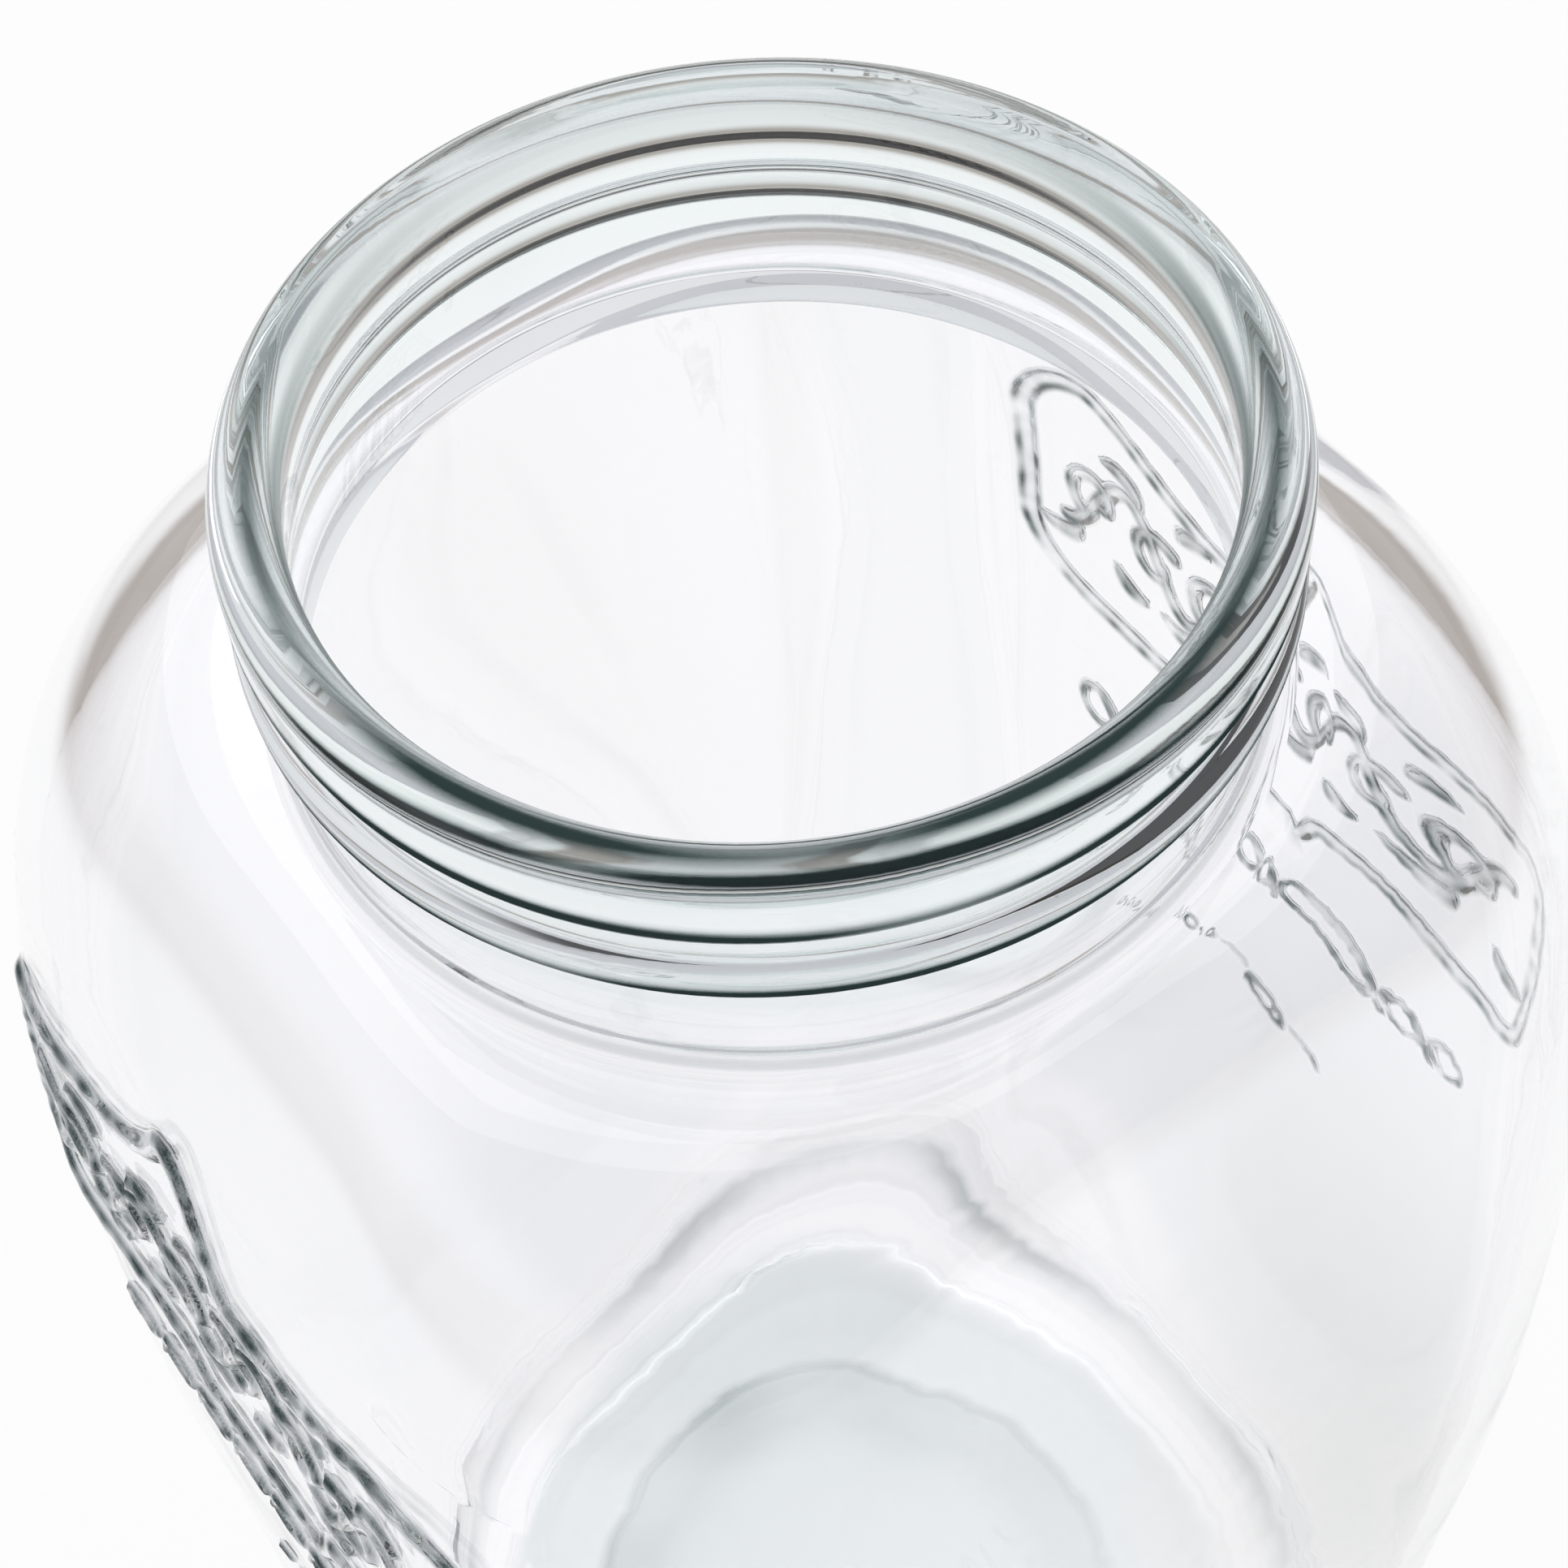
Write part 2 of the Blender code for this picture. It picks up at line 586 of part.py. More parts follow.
def shank_profile():
    """Flange, threaded shank and arm of the tap body, turned about the hole's axis."""
    edge = FLANGE_EDGE_ROUND
    arm_end = CHAMBER_RADIUS / 2 - BARREL_AXIS
    points = [
        (0.0, arm_end),
        (ARM_RADIUS, arm_end),
        (ARM_RADIUS, -FLANGE_FRONT - edge),
        (ARM_RADIUS + edge, -FLANGE_FRONT),
        (FLANGE_RADIUS - edge, -FLANGE_FRONT),
        (FLANGE_RADIUS, -FLANGE_FRONT + edge),
        (FLANGE_RADIUS, -FLANGE_BACK),
        (SHANK_ROOT_RADIUS, -FLANGE_BACK),
    ]
    ridge_radii = (SHANK_ROOT_RADIUS, SHANK_RADIUS, SHANK_RADIUS, SHANK_ROOT_RADIUS)
    ridges = int((FLANGE_BACK - SHANK_END) / THREAD_PITCH)
    start = -SHANK_END - ridges * THREAD_PITCH
    for index in range(ridges):
        place = start + index * THREAD_PITCH
        for radius, share in zip(ridge_radii, THREAD_RIDGE_SHARES):
            points.append((radius, place + THREAD_PITCH * share))
    points.append((SHANK_ROOT_RADIUS, -SHANK_END))
    points.append((0.0, -SHANK_END))
    return points


def barrel_profile():
    low = TAP_HEIGHT - BARREL_DROP
    tip = TAP_HEIGHT - OUTLET_DROP
    return [
        (0.0, BARREL_TOP),
        (BARREL_RADIUS, BARREL_TOP),
        (BARREL_RADIUS, low),
        (NOZZLE_TOP_RADIUS, low - NOZZLE_STEP_HEIGHT),
        (NOZZLE_TIP_RADIUS, tip),
        (0.0, tip),
    ]


def chamber_profile():
    tip = TAP_HEIGHT - OUTLET_DROP
    return [
        (0.0, BARREL_TOP + CUT_OVERRUN),
        (CHAMBER_RADIUS, BARREL_TOP + CUT_OVERRUN),
        (CHAMBER_RADIUS, SEAT_HEIGHT),
        (OUTLET_RADIUS, SEAT_HEIGHT),
        (OUTLET_RADIUS, tip - CUT_OVERRUN),
        (0.0, tip - CUT_OVERRUN),
    ]


def make_tap_body(parent, plastic):
    mesh = finish_mesh(turn(shank_profile(), ROUND_SEGMENTS, "Y"), "tap_body")
    tap = add_piece("tap_body", mesh, plastic, parent, (0.0, 0.0, TAP_HEIGHT))
    barrel = finish_mesh(turn(barrel_profile(), ROUND_SEGMENTS), "tap_barrel")
    chamber = finish_mesh(turn(chamber_profile(), ROUND_SEGMENTS), "tap_chamber")
    low = CHAMBER_RADIUS / 3 - BARREL_AXIS
    high = -SHANK_END + CUT_OVERRUN
    bore = finish_mesh(round_cutter(FLOW_BORE_RADIUS, low, high, SMALL_SEGMENTS, "Y"), "tap_bore")
    on_axis = (0.0, -BARREL_AXIS, 0.0)
    add_boolean(tap, add_guide("tap_barrel", barrel, parent, on_axis), "UNION")
    add_boolean(tap, add_guide("tap_chamber", chamber, parent, on_axis), "DIFFERENCE")
    along_bore = (0.0, 0.0, TAP_HEIGHT)
    add_boolean(tap, add_guide("tap_bore", bore, parent, along_bore), "DIFFERENCE", "MANIFOLD")


def make_flat_ring(name, outer, inner, face, thickness, material, parent):
    """A gasket or washer round the shank; face is how far its outer side stands forward."""
    low = -face
    high = thickness - face
    profile = [(inner, low), (outer, low), (outer, high), (inner, high)]
    mesh = finish_mesh(turn(profile, ROUND_SEGMENTS, "Y"), name)
    add_piece(name, mesh, material, parent, (0.0, 0.0, TAP_HEIGHT))


def make_wall_seals(parent, silicone, plastic):
    inner = SHANK_RADIUS + BORE_GAP
    outer_face = FRONT_WALL + SEAT_GAP + OUTER_GASKET_THICKNESS
    make_flat_ring("outer_gasket", OUTER_GASKET_RADIUS, inner, outer_face,
                   OUTER_GASKET_THICKNESS, silicone, parent)
    make_flat_ring("inner_gasket", INNER_GASKET_RADIUS, inner, INNER_GASKET_FACE,
                   INNER_GASKET_THICKNESS, silicone, parent)
    make_flat_ring("clamp_washer", WASHER_RADIUS, inner, WASHER_FACE, WASHER_THICKNESS, plastic, parent)


def make_lock_nut(parent, plastic):
    """Hexagonal nut with a round collar on its far side."""
    hex_end = -NUT_FACE + NUT_THICKNESS - NUT_COLLAR_HEIGHT
    collar_end = -NUT_FACE + NUT_THICKNESS
    bm = turn([(0.0, -NUT_FACE), (NUT_CORNER_RADIUS, -NUT_FACE), (NUT_CORNER_RADIUS, hex_end),
               (0.0, hex_end)], 6, "Y")
    nut = add_piece("lock_nut", finish_mesh(bm, "lock_nut"), plastic, parent, (0.0, 0.0, TAP_HEIGHT))
    collar = round_cutter(NUT_COLLAR_RADIUS, hex_end - NUT_COLLAR_HEIGHT, collar_end, ROUND_SEGMENTS, "Y")
    bore = round_cutter(SHANK_RADIUS + SEAT_GAP, -NUT_FACE - CUT_OVERRUN, collar_end + CUT_OVERRUN,
                        ROUND_SEGMENTS, "Y")
    at_tap = (0.0, 0.0, TAP_HEIGHT)
    add_boolean(nut, add_guide("nut_collar", finish_mesh(collar, "nut_collar"), parent, at_tap), "UNION")
    add_boolean(nut, add_guide("nut_bore", finish_mesh(bore, "nut_bore"), parent, at_tap), "DIFFERENCE")


def cut_grips(bm):
    """Shortens every second outer corner of the bonnet, for a ribbed edge."""
    edge = BONNET_RADIUS - BONNET_EDGE_ROUND
    for vertex in bm.verts:
        radius = math.hypot(vertex.co.x, vertex.co.y)
        station = round(math.atan2(vertex.co.y, vertex.co.x) / FULL_TURN * 2 * GRIP_RIBS)
        if radius > edge and station % 2:
            vertex.co.x *= 1 - BONNET_GRIP_DEPTH / radius
            vertex.co.y *= 1 - BONNET_GRIP_DEPTH / radius


def make_bonnet(parent, plastic):
    """Screw cap of the barrel, with a hole for the stem and a flat top for the cam."""
    inner = BARREL_RADIUS + SEAT_GAP
    stem_hole = STEM_RADIUS + SEAT_GAP
    skirt = BARREL_TOP - BONNET_SKIRT
    top_edge = BONNET_TOP - BONNET_EDGE_ROUND
    profile = [
        (stem_hole, BONNET_UNDERSIDE),
        (inner, BONNET_UNDERSIDE),
        (inner, skirt),
        (BONNET_RADIUS, skirt),
        (BONNET_RADIUS, top_edge),
        (BONNET_RADIUS - BONNET_EDGE_ROUND, BONNET_TOP),
        (stem_hole, BONNET_TOP),
    ]
    mesh = finish_mesh(turn(profile, 2 * GRIP_RIBS, grip=cut_grips), "bonnet")
    add_piece("bonnet", mesh, plastic, parent, (0.0, -BARREL_AXIS, 0.0))


def make_seal_cup(parent, silicone):
    socket = STEM_RADIUS + SEAT_GAP
    profile = [
        (0.0, SEAL_BOTTOM),
        (SEAL_RADIUS - SEAL_CHAMFER, SEAL_BOTTOM),
        (SEAL_RADIUS, SEAL_BOTTOM + SEAL_CHAMFER),
        (SEAL_RADIUS, SEAL_TOP),
        (socket, SEAL_TOP),
        (socket, SEAL_TOP - SEAL_SOCKET_DEPTH),
        (0.0, SEAL_TOP - SEAL_SOCKET_DEPTH),
    ]
    mesh = finish_mesh(turn(profile, SMALL_SEGMENTS), "seal_cup")
    add_piece("seal_cup", mesh, silicone, parent, (0.0, -BARREL_AXIS, 0.0))


def make_stem(parent, plastic):
    """Round rod with a flat eye at its top for the lever's pin."""
    length = PIVOT_HEIGHT - STEM_BOTTOM
    rod = round_cutter(STEM_RADIUS, -length, 0.0, SMALL_SEGMENTS)
    stem = add_piece("valve_stem", finish_mesh(rod, "valve_stem"), plastic, parent,
                     (0.0, -BARREL_AXIS, PIVOT_HEIGHT))
    half = STEM_RADIUS - SEAT_GAP / 2
    eye = finish_mesh(round_cutter(STEM_EYE_RADIUS, -half, half, SMALL_SEGMENTS, "X"), "stem_eye")
    reach = CHEEK_OUTER
    hole = finish_mesh(round_cutter(PIN_HOLE_RADIUS, -reach, reach, SMALL_SEGMENTS, "X"), "stem_pin_hole")
    at_pivot = (0.0, -BARREL_AXIS, PIVOT_HEIGHT)
    add_boolean(stem, add_guide("stem_eye", eye, parent, at_pivot), "UNION")
    add_boolean(stem, add_guide("stem_pin_hole", hole, parent, at_pivot), "DIFFERENCE")


def spring_points():
    """Centre line of the return spring, between the seal cup and the bonnet."""
    low = SEAL_TOP + SEAT_GAP + SPRING_WIRE_RADIUS
    high = BONNET_UNDERSIDE - SEAT_GAP - SPRING_WIRE_RADIUS
    total = SPRING_TURNS * SPRING_POINTS_PER_TURN
    points = []
    for step in range(total + 1):
        angle = FULL_TURN * step / SPRING_POINTS_PER_TURN
        height = low + (high - low) * step / total
        points.append(Vector((SPRING_RADIUS * math.cos(angle), SPRING_RADIUS * math.sin(angle), height)))
    return points


def print_spring_gap(points):
    """Least clear space between one curl of the spring and the next."""
    least = min((points[index + SPRING_POINTS_PER_TURN] - points[index]).length
                for index in range(len(points) - SPRING_POINTS_PER_TURN))
    print("return_spring least gap, mm:", round((least - 2 * SPRING_WIRE_RADIUS) * 1000, 2))


def make_spring(parent, steel):
    points = spring_points()
    print_spring_gap(points)
    curve = bpy.data.curves.new("return_spring", "CURVE")
    curve.dimensions = "3D"
    curve.bevel_depth = SPRING_WIRE_RADIUS
    curve.bevel_resolution = 1
    curve.render_resolution_u = 0
    curve.use_fill_caps = True
    curve.materials.append(steel)
    spline = curve.splines.new("POLY")
    spline.points.add(len(points) - 1)
    for place, point in zip(spline.points, points):
        place.co = (*point, 1.0)
    spring = bpy.data.objects.new("return_spring", curve)
    spring.location = (0.0, -BARREL_AXIS, 0.0)
    spring.parent = parent
    bpy.context.collection.objects.link(spring)


def cam_outline():
    """Side outline of the lever's hub about its pivot, as (y, z) points.

    The heel's distance from the pivot grows evenly with the lever's tilt, so the
    stem rises by CAM_RISE_PER_RADIAN for each radian against the flat bonnet.
    """
    rise = CAM_RISE_PER_RADIAN
    points = [(CAM_BACK, -CAM_BASE)]
    steps = 12
    for step in range(steps + 1):
        tilt = (LEVER_TRAVEL + CAM_OVERTRAVEL) * step / steps
        reach = CAM_BASE + rise * tilt
        y = -reach * math.sin(tilt) - rise * math.cos(tilt)
        z = -reach * math.cos(tilt) + rise * math.sin(tilt)
        points.append((y, z))
    nose_y, nose_z = points[-1]
    shoulder_z = STEM_EYE_RADIUS + ROOT_GAP
    points.append((nose_y, nose_z + CAM_BASE / 3))
    points.append((nose_y + CAM_BASE / 4, shoulder_z))
    points.append((-HANDLE_ROOT_DEPTH / 2, HUB_TOP))
    points.append((HANDLE_ROOT_DEPTH / 2, HUB_TOP))
    points.append((CAM_BACK, shoulder_z))
    return points


def handle_outline():
    """Side outline of the finger lever: a slim blade that leans forward to a round tip."""
    steps = 8
    low = STEM_EYE_RADIUS + 2 * ROOT_GAP
    front = []
    back = []
    for step in range(steps + 1):
        along = step / steps
        height = low + (HANDLE_LENGTH - HANDLE_TIP_DEPTH / 2 - low) * along
        middle = -HANDLE_LEAN * along ** 2
        depth = HANDLE_ROOT_DEPTH + (HANDLE_TIP_DEPTH - HANDLE_ROOT_DEPTH) * along
        front.append((middle - depth / 2, height))
        back.append((middle + depth / 2, height))
    tip = arc((-HANDLE_LEAN, HANDLE_LENGTH - HANDLE_TIP_DEPTH / 2), HANDLE_TIP_DEPTH / 2,
              2 * RIGHT_ANGLE, 0.0, 6)[1:-1]
    return front + tip + list(reversed(back))


def make_lever(parent, plastic):
    at_pivot = (0.0, -BARREL_AXIS, PIVOT_HEIGHT)
    hub = finish_mesh(extrude_outline(cam_outline(), CHEEK_OUTER), "lever")
    lever = add_piece("lever", hub, plastic, parent, at_pivot)
    blade = extrude_outline(handle_outline(), HANDLE_WIDTH / 2)
    rims = [edge for edge in blade.edges if abs(edge.verts[0].co.x - edge.verts[1].co.x) < SEAT_GAP]
    bmesh.ops.bevel(blade, geom=rims, offset=HANDLE_EDGE_ROUND, offset_type="OFFSET", segments=2,
                    profile=0.5, affect="EDGES", material=-1)
    slot_top = STEM_EYE_RADIUS + ROOT_GAP
    slot_low = -CAM_BASE - LEVER_TRAVEL * CAM_RISE_PER_RADIAN - CUT_OVERRUN
    slot_end = CAM_BASE * 2 + CUT_OVERRUN
    slot_outline = [(-slot_end, slot_low), (slot_end, slot_low), (slot_end, slot_top), (-slot_end, slot_top)]
    slot = extrude_outline(slot_outline, CHEEK_INNER)
    reach = CHEEK_OUTER + CUT_OVERRUN
    hole = round_cutter(PIN_HOLE_RADIUS, -reach, reach, SMALL_SEGMENTS, "X")
    add_boolean(lever, add_guide("lever_blade", finish_mesh(blade, "lever_blade"), parent, at_pivot), "UNION")
    add_boolean(lever, add_guide("lever_slot", finish_mesh(slot, "lever_slot"), parent, at_pivot), "DIFFERENCE")
    add_boolean(lever, add_guide("lever_pin_hole", finish_mesh(hole, "lever_pin_hole"), parent, at_pivot),
                "DIFFERENCE")


def make_hinge_pin(parent, steel):
    """Riveted pin through the lever's cheeks and the stem's eye, a low head at each end."""
    head_face = CHEEK_OUTER + SEAT_GAP
    end = head_face + PIN_HEAD_THICKNESS
    profile = [
        (0.0, -end),
        (PIN_HEAD_RADIUS, -end),
        (PIN_HEAD_RADIUS, -head_face),
        (PIN_RADIUS, -head_face),
        (PIN_RADIUS, head_face),
        (PIN_HEAD_RADIUS, head_face),
        (PIN_HEAD_RADIUS, end),
        (0.0, end),
    ]
    mesh = finish_mesh(turn(profile, SMALL_SEGMENTS, "X"), "hinge_pin")
    add_piece("hinge_pin", mesh, steel, parent, (0.0, -BARREL_AXIS, PIVOT_HEIGHT))


def build():
    clear_scene()
    jar_axis = bpy.data.objects.new("jar_axis", None)
    jar_axis.location = (0.0, jar_axis_shift(), 0.0)
    bpy.context.collection.objects.link(jar_axis)
    glass = clear_glass()
    plastic = pale_plastic()
    white = white_plastic()
    silicone = clear_silicone()
    steel = bright_steel()
    make_jar(jar_axis, glass)
    make_tap_body(jar_axis, plastic)
    make_wall_seals(jar_axis, silicone, white)
    make_lock_nut(jar_axis, white)
    make_bonnet(jar_axis, plastic)
    make_seal_cup(jar_axis, silicone)
    make_stem(jar_axis, white)
    make_spring(jar_axis, steel)
    make_lever(jar_axis, plastic)
    make_hinge_pin(jar_axis, steel)


build()
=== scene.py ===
# Glass drink dispenser: a pressed-glass jar with raised ornament, and the pieces of its
# lever tap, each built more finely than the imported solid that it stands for.

import math

import bmesh
import bpy
import numpy as np
from mathutils import Matrix, Vector, noise


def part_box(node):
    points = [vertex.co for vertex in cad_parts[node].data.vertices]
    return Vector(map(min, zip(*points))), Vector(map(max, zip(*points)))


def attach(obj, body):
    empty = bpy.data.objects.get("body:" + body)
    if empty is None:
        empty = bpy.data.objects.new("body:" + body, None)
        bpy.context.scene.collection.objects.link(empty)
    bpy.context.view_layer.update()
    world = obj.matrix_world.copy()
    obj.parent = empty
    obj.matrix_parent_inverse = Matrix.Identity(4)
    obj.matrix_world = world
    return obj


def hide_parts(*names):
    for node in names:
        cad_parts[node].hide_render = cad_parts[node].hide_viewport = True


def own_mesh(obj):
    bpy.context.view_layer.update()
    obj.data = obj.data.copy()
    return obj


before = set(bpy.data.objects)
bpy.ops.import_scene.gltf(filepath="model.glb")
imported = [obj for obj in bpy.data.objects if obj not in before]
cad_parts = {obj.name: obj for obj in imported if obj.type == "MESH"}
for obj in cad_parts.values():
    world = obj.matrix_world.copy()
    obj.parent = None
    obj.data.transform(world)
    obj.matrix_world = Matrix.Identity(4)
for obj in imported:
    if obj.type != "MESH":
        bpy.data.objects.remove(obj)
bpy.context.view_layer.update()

FULL_TURN = 2 * math.pi
RIGHT_ANGLE = math.pi / 2

# Sizes of the jar, in metres
JAR_HEIGHT = 0.345
BODY_WIDTH = 0.170
BODY_DEPTH = 0.180
BODY_CORNER_RADIUS = 0.041
BODY_TAPER = 0.0042
FOOT_CORNER_RADIUS = 0.072
FOOT_BLEND_HEIGHT = 0.062
STRAIGHT_WALL_TOP = 0.054
SHOULDER_START = 0.166
SHOULDER_TOP = 0.310
SHOULDER_POWER = 2.7
WALL = 0.0042
HEEL_RADIUS = 0.010
FLOOR_THICKNESS = 0.008
INNER_HEEL_RADIUS = 0.008
NECK_RADIUS = 0.0575
NECK_FILLET = 0.003
NECK_FOOT_RADIUS = NECK_RADIUS + NECK_FILLET
LIP_RADIUS = 0.060
LIP_HEIGHT = 0.0105
LIP_TOP_ROUND = 0.0035
LIP_UNDER_ROUND = 0.0026
GROOVE_DIP = 0.0006
BEAD_RADIUS = 0.0602
BEAD_TUBE = 0.0030
BEAD_DROP = 0.0175
BEAD_ARC = 0.8 * RIGHT_ANGLE
MOUTH_RADIUS = 0.052
NECK_INNER_RADIUS = 0.0545
NECK_INNER_FILLET = 0.0025
NECK_INNER_EASE = 1.3
HOLE_RADIUS = 0.0082
TAP_HEIGHT = 0.036
FRONT_WALL = BODY_DEPTH / 2 - BODY_TAPER

# The pushed-up underside, its ramp's end and the land, as insets and heights
UNDERSIDE_RISE = 0.0035
UNDERSIDE_RADII = (0.0, 0.015, 0.030, 0.043)
UNDERSIDE_RADIUS = 0.046
RAMP_END = (0.017, 0.0015)
LAND_STEPS = ((0.0155, 0.0007), (0.014, 0.0001), (0.0135, 0.0))

# The dome on the floor inside: its edge, the width and rise of its ramp, and its crown
DOME_RADIUS = 0.052
DOME_RAMP = 0.0054
DOME_RISE = 0.0045
DOME_CROWN = 0.0015

# Bands of the outer walls' levels, as lowest, highest and number
WALL_BANDS = ((HEEL_RADIUS, 0.136, 22), (0.139, 0.151, 4), (0.155, 0.155, 1), (0.160, 0.160, 1),
              (0.1645, 0.1645, 1), (0.168, 0.168, 1), (0.171, 0.191, 6), (0.195, 0.195, 1),
              (0.1985, 0.2705, 20))
UPPER_SHOULDER = 0.274

# Sizes of the tap, in metres; its places count from the jar's axis
SHANK_RADIUS = 0.0076
SHANK_ROOT_RADIUS = 0.0069
THREAD_PITCH = 0.003
THREAD_SINK = 0.0006
THREAD_FOOT = 0.0011
THREAD_CREST = 0.0003
THREAD_STEPS = 48
FLANGE_RADIUS = 0.015
FLANGE_THICKNESS = 0.0037
OUTER_GASKET_RADIUS = 0.0142
INNER_GASKET_RADIUS = 0.0135
GASKET_THICKNESS = 0.002
WASHER_RADIUS = 0.0132
WASHER_THICKNESS = 0.0015
NUT_THICKNESS = 0.008
NUT_CORNER_RADIUS = 0.0133
NUT_COLLAR_RADIUS = 0.0105
NUT_COLLAR_HEIGHT = 0.0015
NUT_TRIM = 0.0003
NUT_CHAMFER_REACH = 0.0010
NUT_CHAMFER_HEIGHT = 0.0009
NUT_SKIM = 0.0001
SEAT_GAP = 0.0003
BORE_GAP = 0.0004
PIN_GAP = 0.00008
SHANK_OVERRUN = 0.004
BARREL_REACH = 0.0145
ARM_RADIUS = 0.0078
FLOW_BORE_RADIUS = 0.004
BARREL_RADIUS = 0.0105
BARREL_RISE = 0.016
BARREL_DROP = 0.013
CHAMBER_RADIUS = 0.0075
SEAT_DROP = 0.007
OUTLET_RADIUS = 0.0042
OUTLET_DROP = 0.027
NOZZLE_TOP_RADIUS = 0.0080
NOZZLE_TIP_RADIUS = 0.0062
NOZZLE_STEP_HEIGHT = 0.003
BONNET_SKIRT = 0.006
BONNET_WALL = 0.0015
BONNET_PLATE = 0.0037
BONNET_CHAMFER = 0.0012
GRIP_DEPTH = 0.0005
GRIP_RIND = 0.0009
GRIP_RIBS = 20
STEM_RADIUS = 0.002
STEM_EYE_RADIUS = 0.004
SEAL_RADIUS = 0.0058
SEAL_HEIGHT = 0.006
SEAL_CHAMFER = 0.0014
SEAL_SOCKET_DEPTH = 0.004
SPRING_RADIUS = 0.0043
SPRING_WIRE_RADIUS = 0.0004
SPRING_TURNS = 5
SPRING_STEPS = 36
CLOSED_TURN_RISE = 2.1 * SPRING_WIRE_RADIUS
CAM_BASE = 0.0065
CAM_RISE_PER_RADIAN = 0.004
CAM_OVERTRAVEL = math.radians(4)
CAM_STEPS = 24
CAM_BACK = 0.0045
CHEEK_THICKNESS = 0.0025
CHEEK_GAP = 0.0003
ROOT_GAP = 0.0012
HUB_TOP = 0.013
HANDLE_LENGTH = 0.038
HANDLE_WIDTH = 0.014
HANDLE_ROOT_DEPTH = 0.0075
HANDLE_TIP_DEPTH = 0.0040
HANDLE_LEAN = 0.0050
HANDLE_STEPS = 20
PIN_RADIUS = 0.00125
PIN_HEAD_RADIUS = 0.0022
PIN_HEAD_THICKNESS = 0.0008
LEVER_TRAVEL = math.radians(50)

# The grooves across the finger lever: the share of its length they start at and step by
GROOVES = 6
GROOVE_START = 0.93
GROOVE_STEP = 0.07
GROOVE_RADIUS = 0.0006
GROOVE_SET_OUT = 0.0002
GROOVE_END_GAP = 0.0026

# How far corners are eased on the tap's pieces
BLADE_EASE = 0.0012
BODY_EASE = 0.0009
BARREL_EASE = 0.0007
SMALL_EASE = 0.0005
FINE_EASE = 0.0004

FLANGE_BACK = FRONT_WALL + GASKET_THICKNESS + 2 * SEAT_GAP
FLANGE_FRONT = FLANGE_BACK + FLANGE_THICKNESS
BARREL_AXIS = FLANGE_FRONT + BARREL_REACH
NUT_FACE = FRONT_WALL - WALL - 3 * SEAT_GAP - GASKET_THICKNESS - WASHER_THICKNESS
SHANK_END = NUT_FACE - NUT_THICKNESS - SHANK_OVERRUN
SEAT_HEIGHT = TAP_HEIGHT - SEAT_DROP
BARREL_TOP = TAP_HEIGHT + BARREL_RISE
BONNET_RADIUS = BARREL_RADIUS + SEAT_GAP + BONNET_WALL
BONNET_UNDERSIDE = BARREL_TOP + SEAT_GAP
BONNET_TOP = BONNET_UNDERSIDE + BONNET_PLATE
PIVOT_HEIGHT = BONNET_TOP + SEAT_GAP + CAM_BASE
SEAL_BOTTOM = SEAT_HEIGHT + SEAT_GAP
SEAL_TOP = SEAL_BOTTOM + SEAL_HEIGHT
CHEEK_INNER = STEM_RADIUS + CHEEK_GAP
CHEEK_OUTER = CHEEK_INNER + CHEEK_THICKNESS

# Sizes of the embossed plaque, across the wall and up it
PLAQUE_HALF_WIDTH = 0.0565
PLAQUE_BOTTOM = 0.206
PLAQUE_TOP = 0.251
RIB_HALF_WIDTH = 0.0027
RIB_HEIGHT = 0.00135
PLAQUE_LEFT_ROUND = 0.006
PLAQUE_RIGHT_ROUND = 0.013
LOBE_HALF_WIDTH, LOBE_EASE, LOBE_DROP = 0.020, 0.006, 0.007
PEAK_PLACE, PEAK_RISE, PEAK_WIDTH = -0.011, 0.015, 0.009
FALL_START, FALL_RUN = -0.010, 0.012
SADDLE_START, SADDLE_RUN, SADDLE_DIP, SADDLE_RISE = 0.005, 0.041, 0.006, 0.011

# The vine scroll: its wave, a curl in each bend, and leaves as place across and up,
# heading, length, bend and height
VINE_MIDDLE = 0.2305
VINE_REACH = 0.049
VINE_SWING = 0.0085
VINE_PITCH = 0.028
VINE_STEPS = 120
VINE_HALF_WIDTH = 0.0021
VINE_HEIGHT = 0.0012
CURL_DROP = 0.001
CURL_RADIUS = 0.0066
CURL_LEAD = 0.6
CURL_TURNS = 0.9
CURL_TAPER = 0.0008
LEAF_END = 0.0008
LEAF_SWELL = 0.0019
VINE_LEAVES = ((0.004, 0.0095, 1.2, 0.0085, -0.9, 0.0012),
               (-0.005, 0.0105, 2.1, 0.0070, 0.7, 0.0011))

# Two rows of rings and leaves, each as number, start, pitch, ring's height and radius,
# ring's steps, leaf, half width of the strokes and their height
UPPER_ROW = (9, -0.0404, 0.0101, 0.1805, 0.0040, 20, (0.0046, 0.1758, 1.35, 0.0100, -0.35),
             0.0013, 0.0010)
LOWER_ROW = (8, -0.0135, 0.0072, 0.1450, 0.0021, 14, (-0.0015, 0.1425, 0.9, 0.0052, -0.3),
             0.0010, 0.0008)

# The patches of wall that carry ornament, as left, right, low and high
ORNAMENT_PATCHES = ((-0.0605, 0.0605, 0.198, 0.271), (-0.052, 0.052, 0.1705, 0.1915),
                    (-0.021, 0.043, 0.1385, 0.1515))
RELIEF_LOW = 0.13
RELIEF_HIGH = 0.28
RELIEF_REACH = 0.065
FLAT_CREST = 0.12
HAMMER_GRAIN = 300

# How finely the jar's skin and the tap's pieces are divided
COLUMNS = 160
RELIEF_CUTS = 3
FINE_FACE = 2.5e-6
FINE_SPREAD = 0.0007
ROUND_STEPS = 96
EASE_STEPS = 4
OVERRUN = 0.003
MERGE = 1e-7
SKIN_MERGE = 1e-6

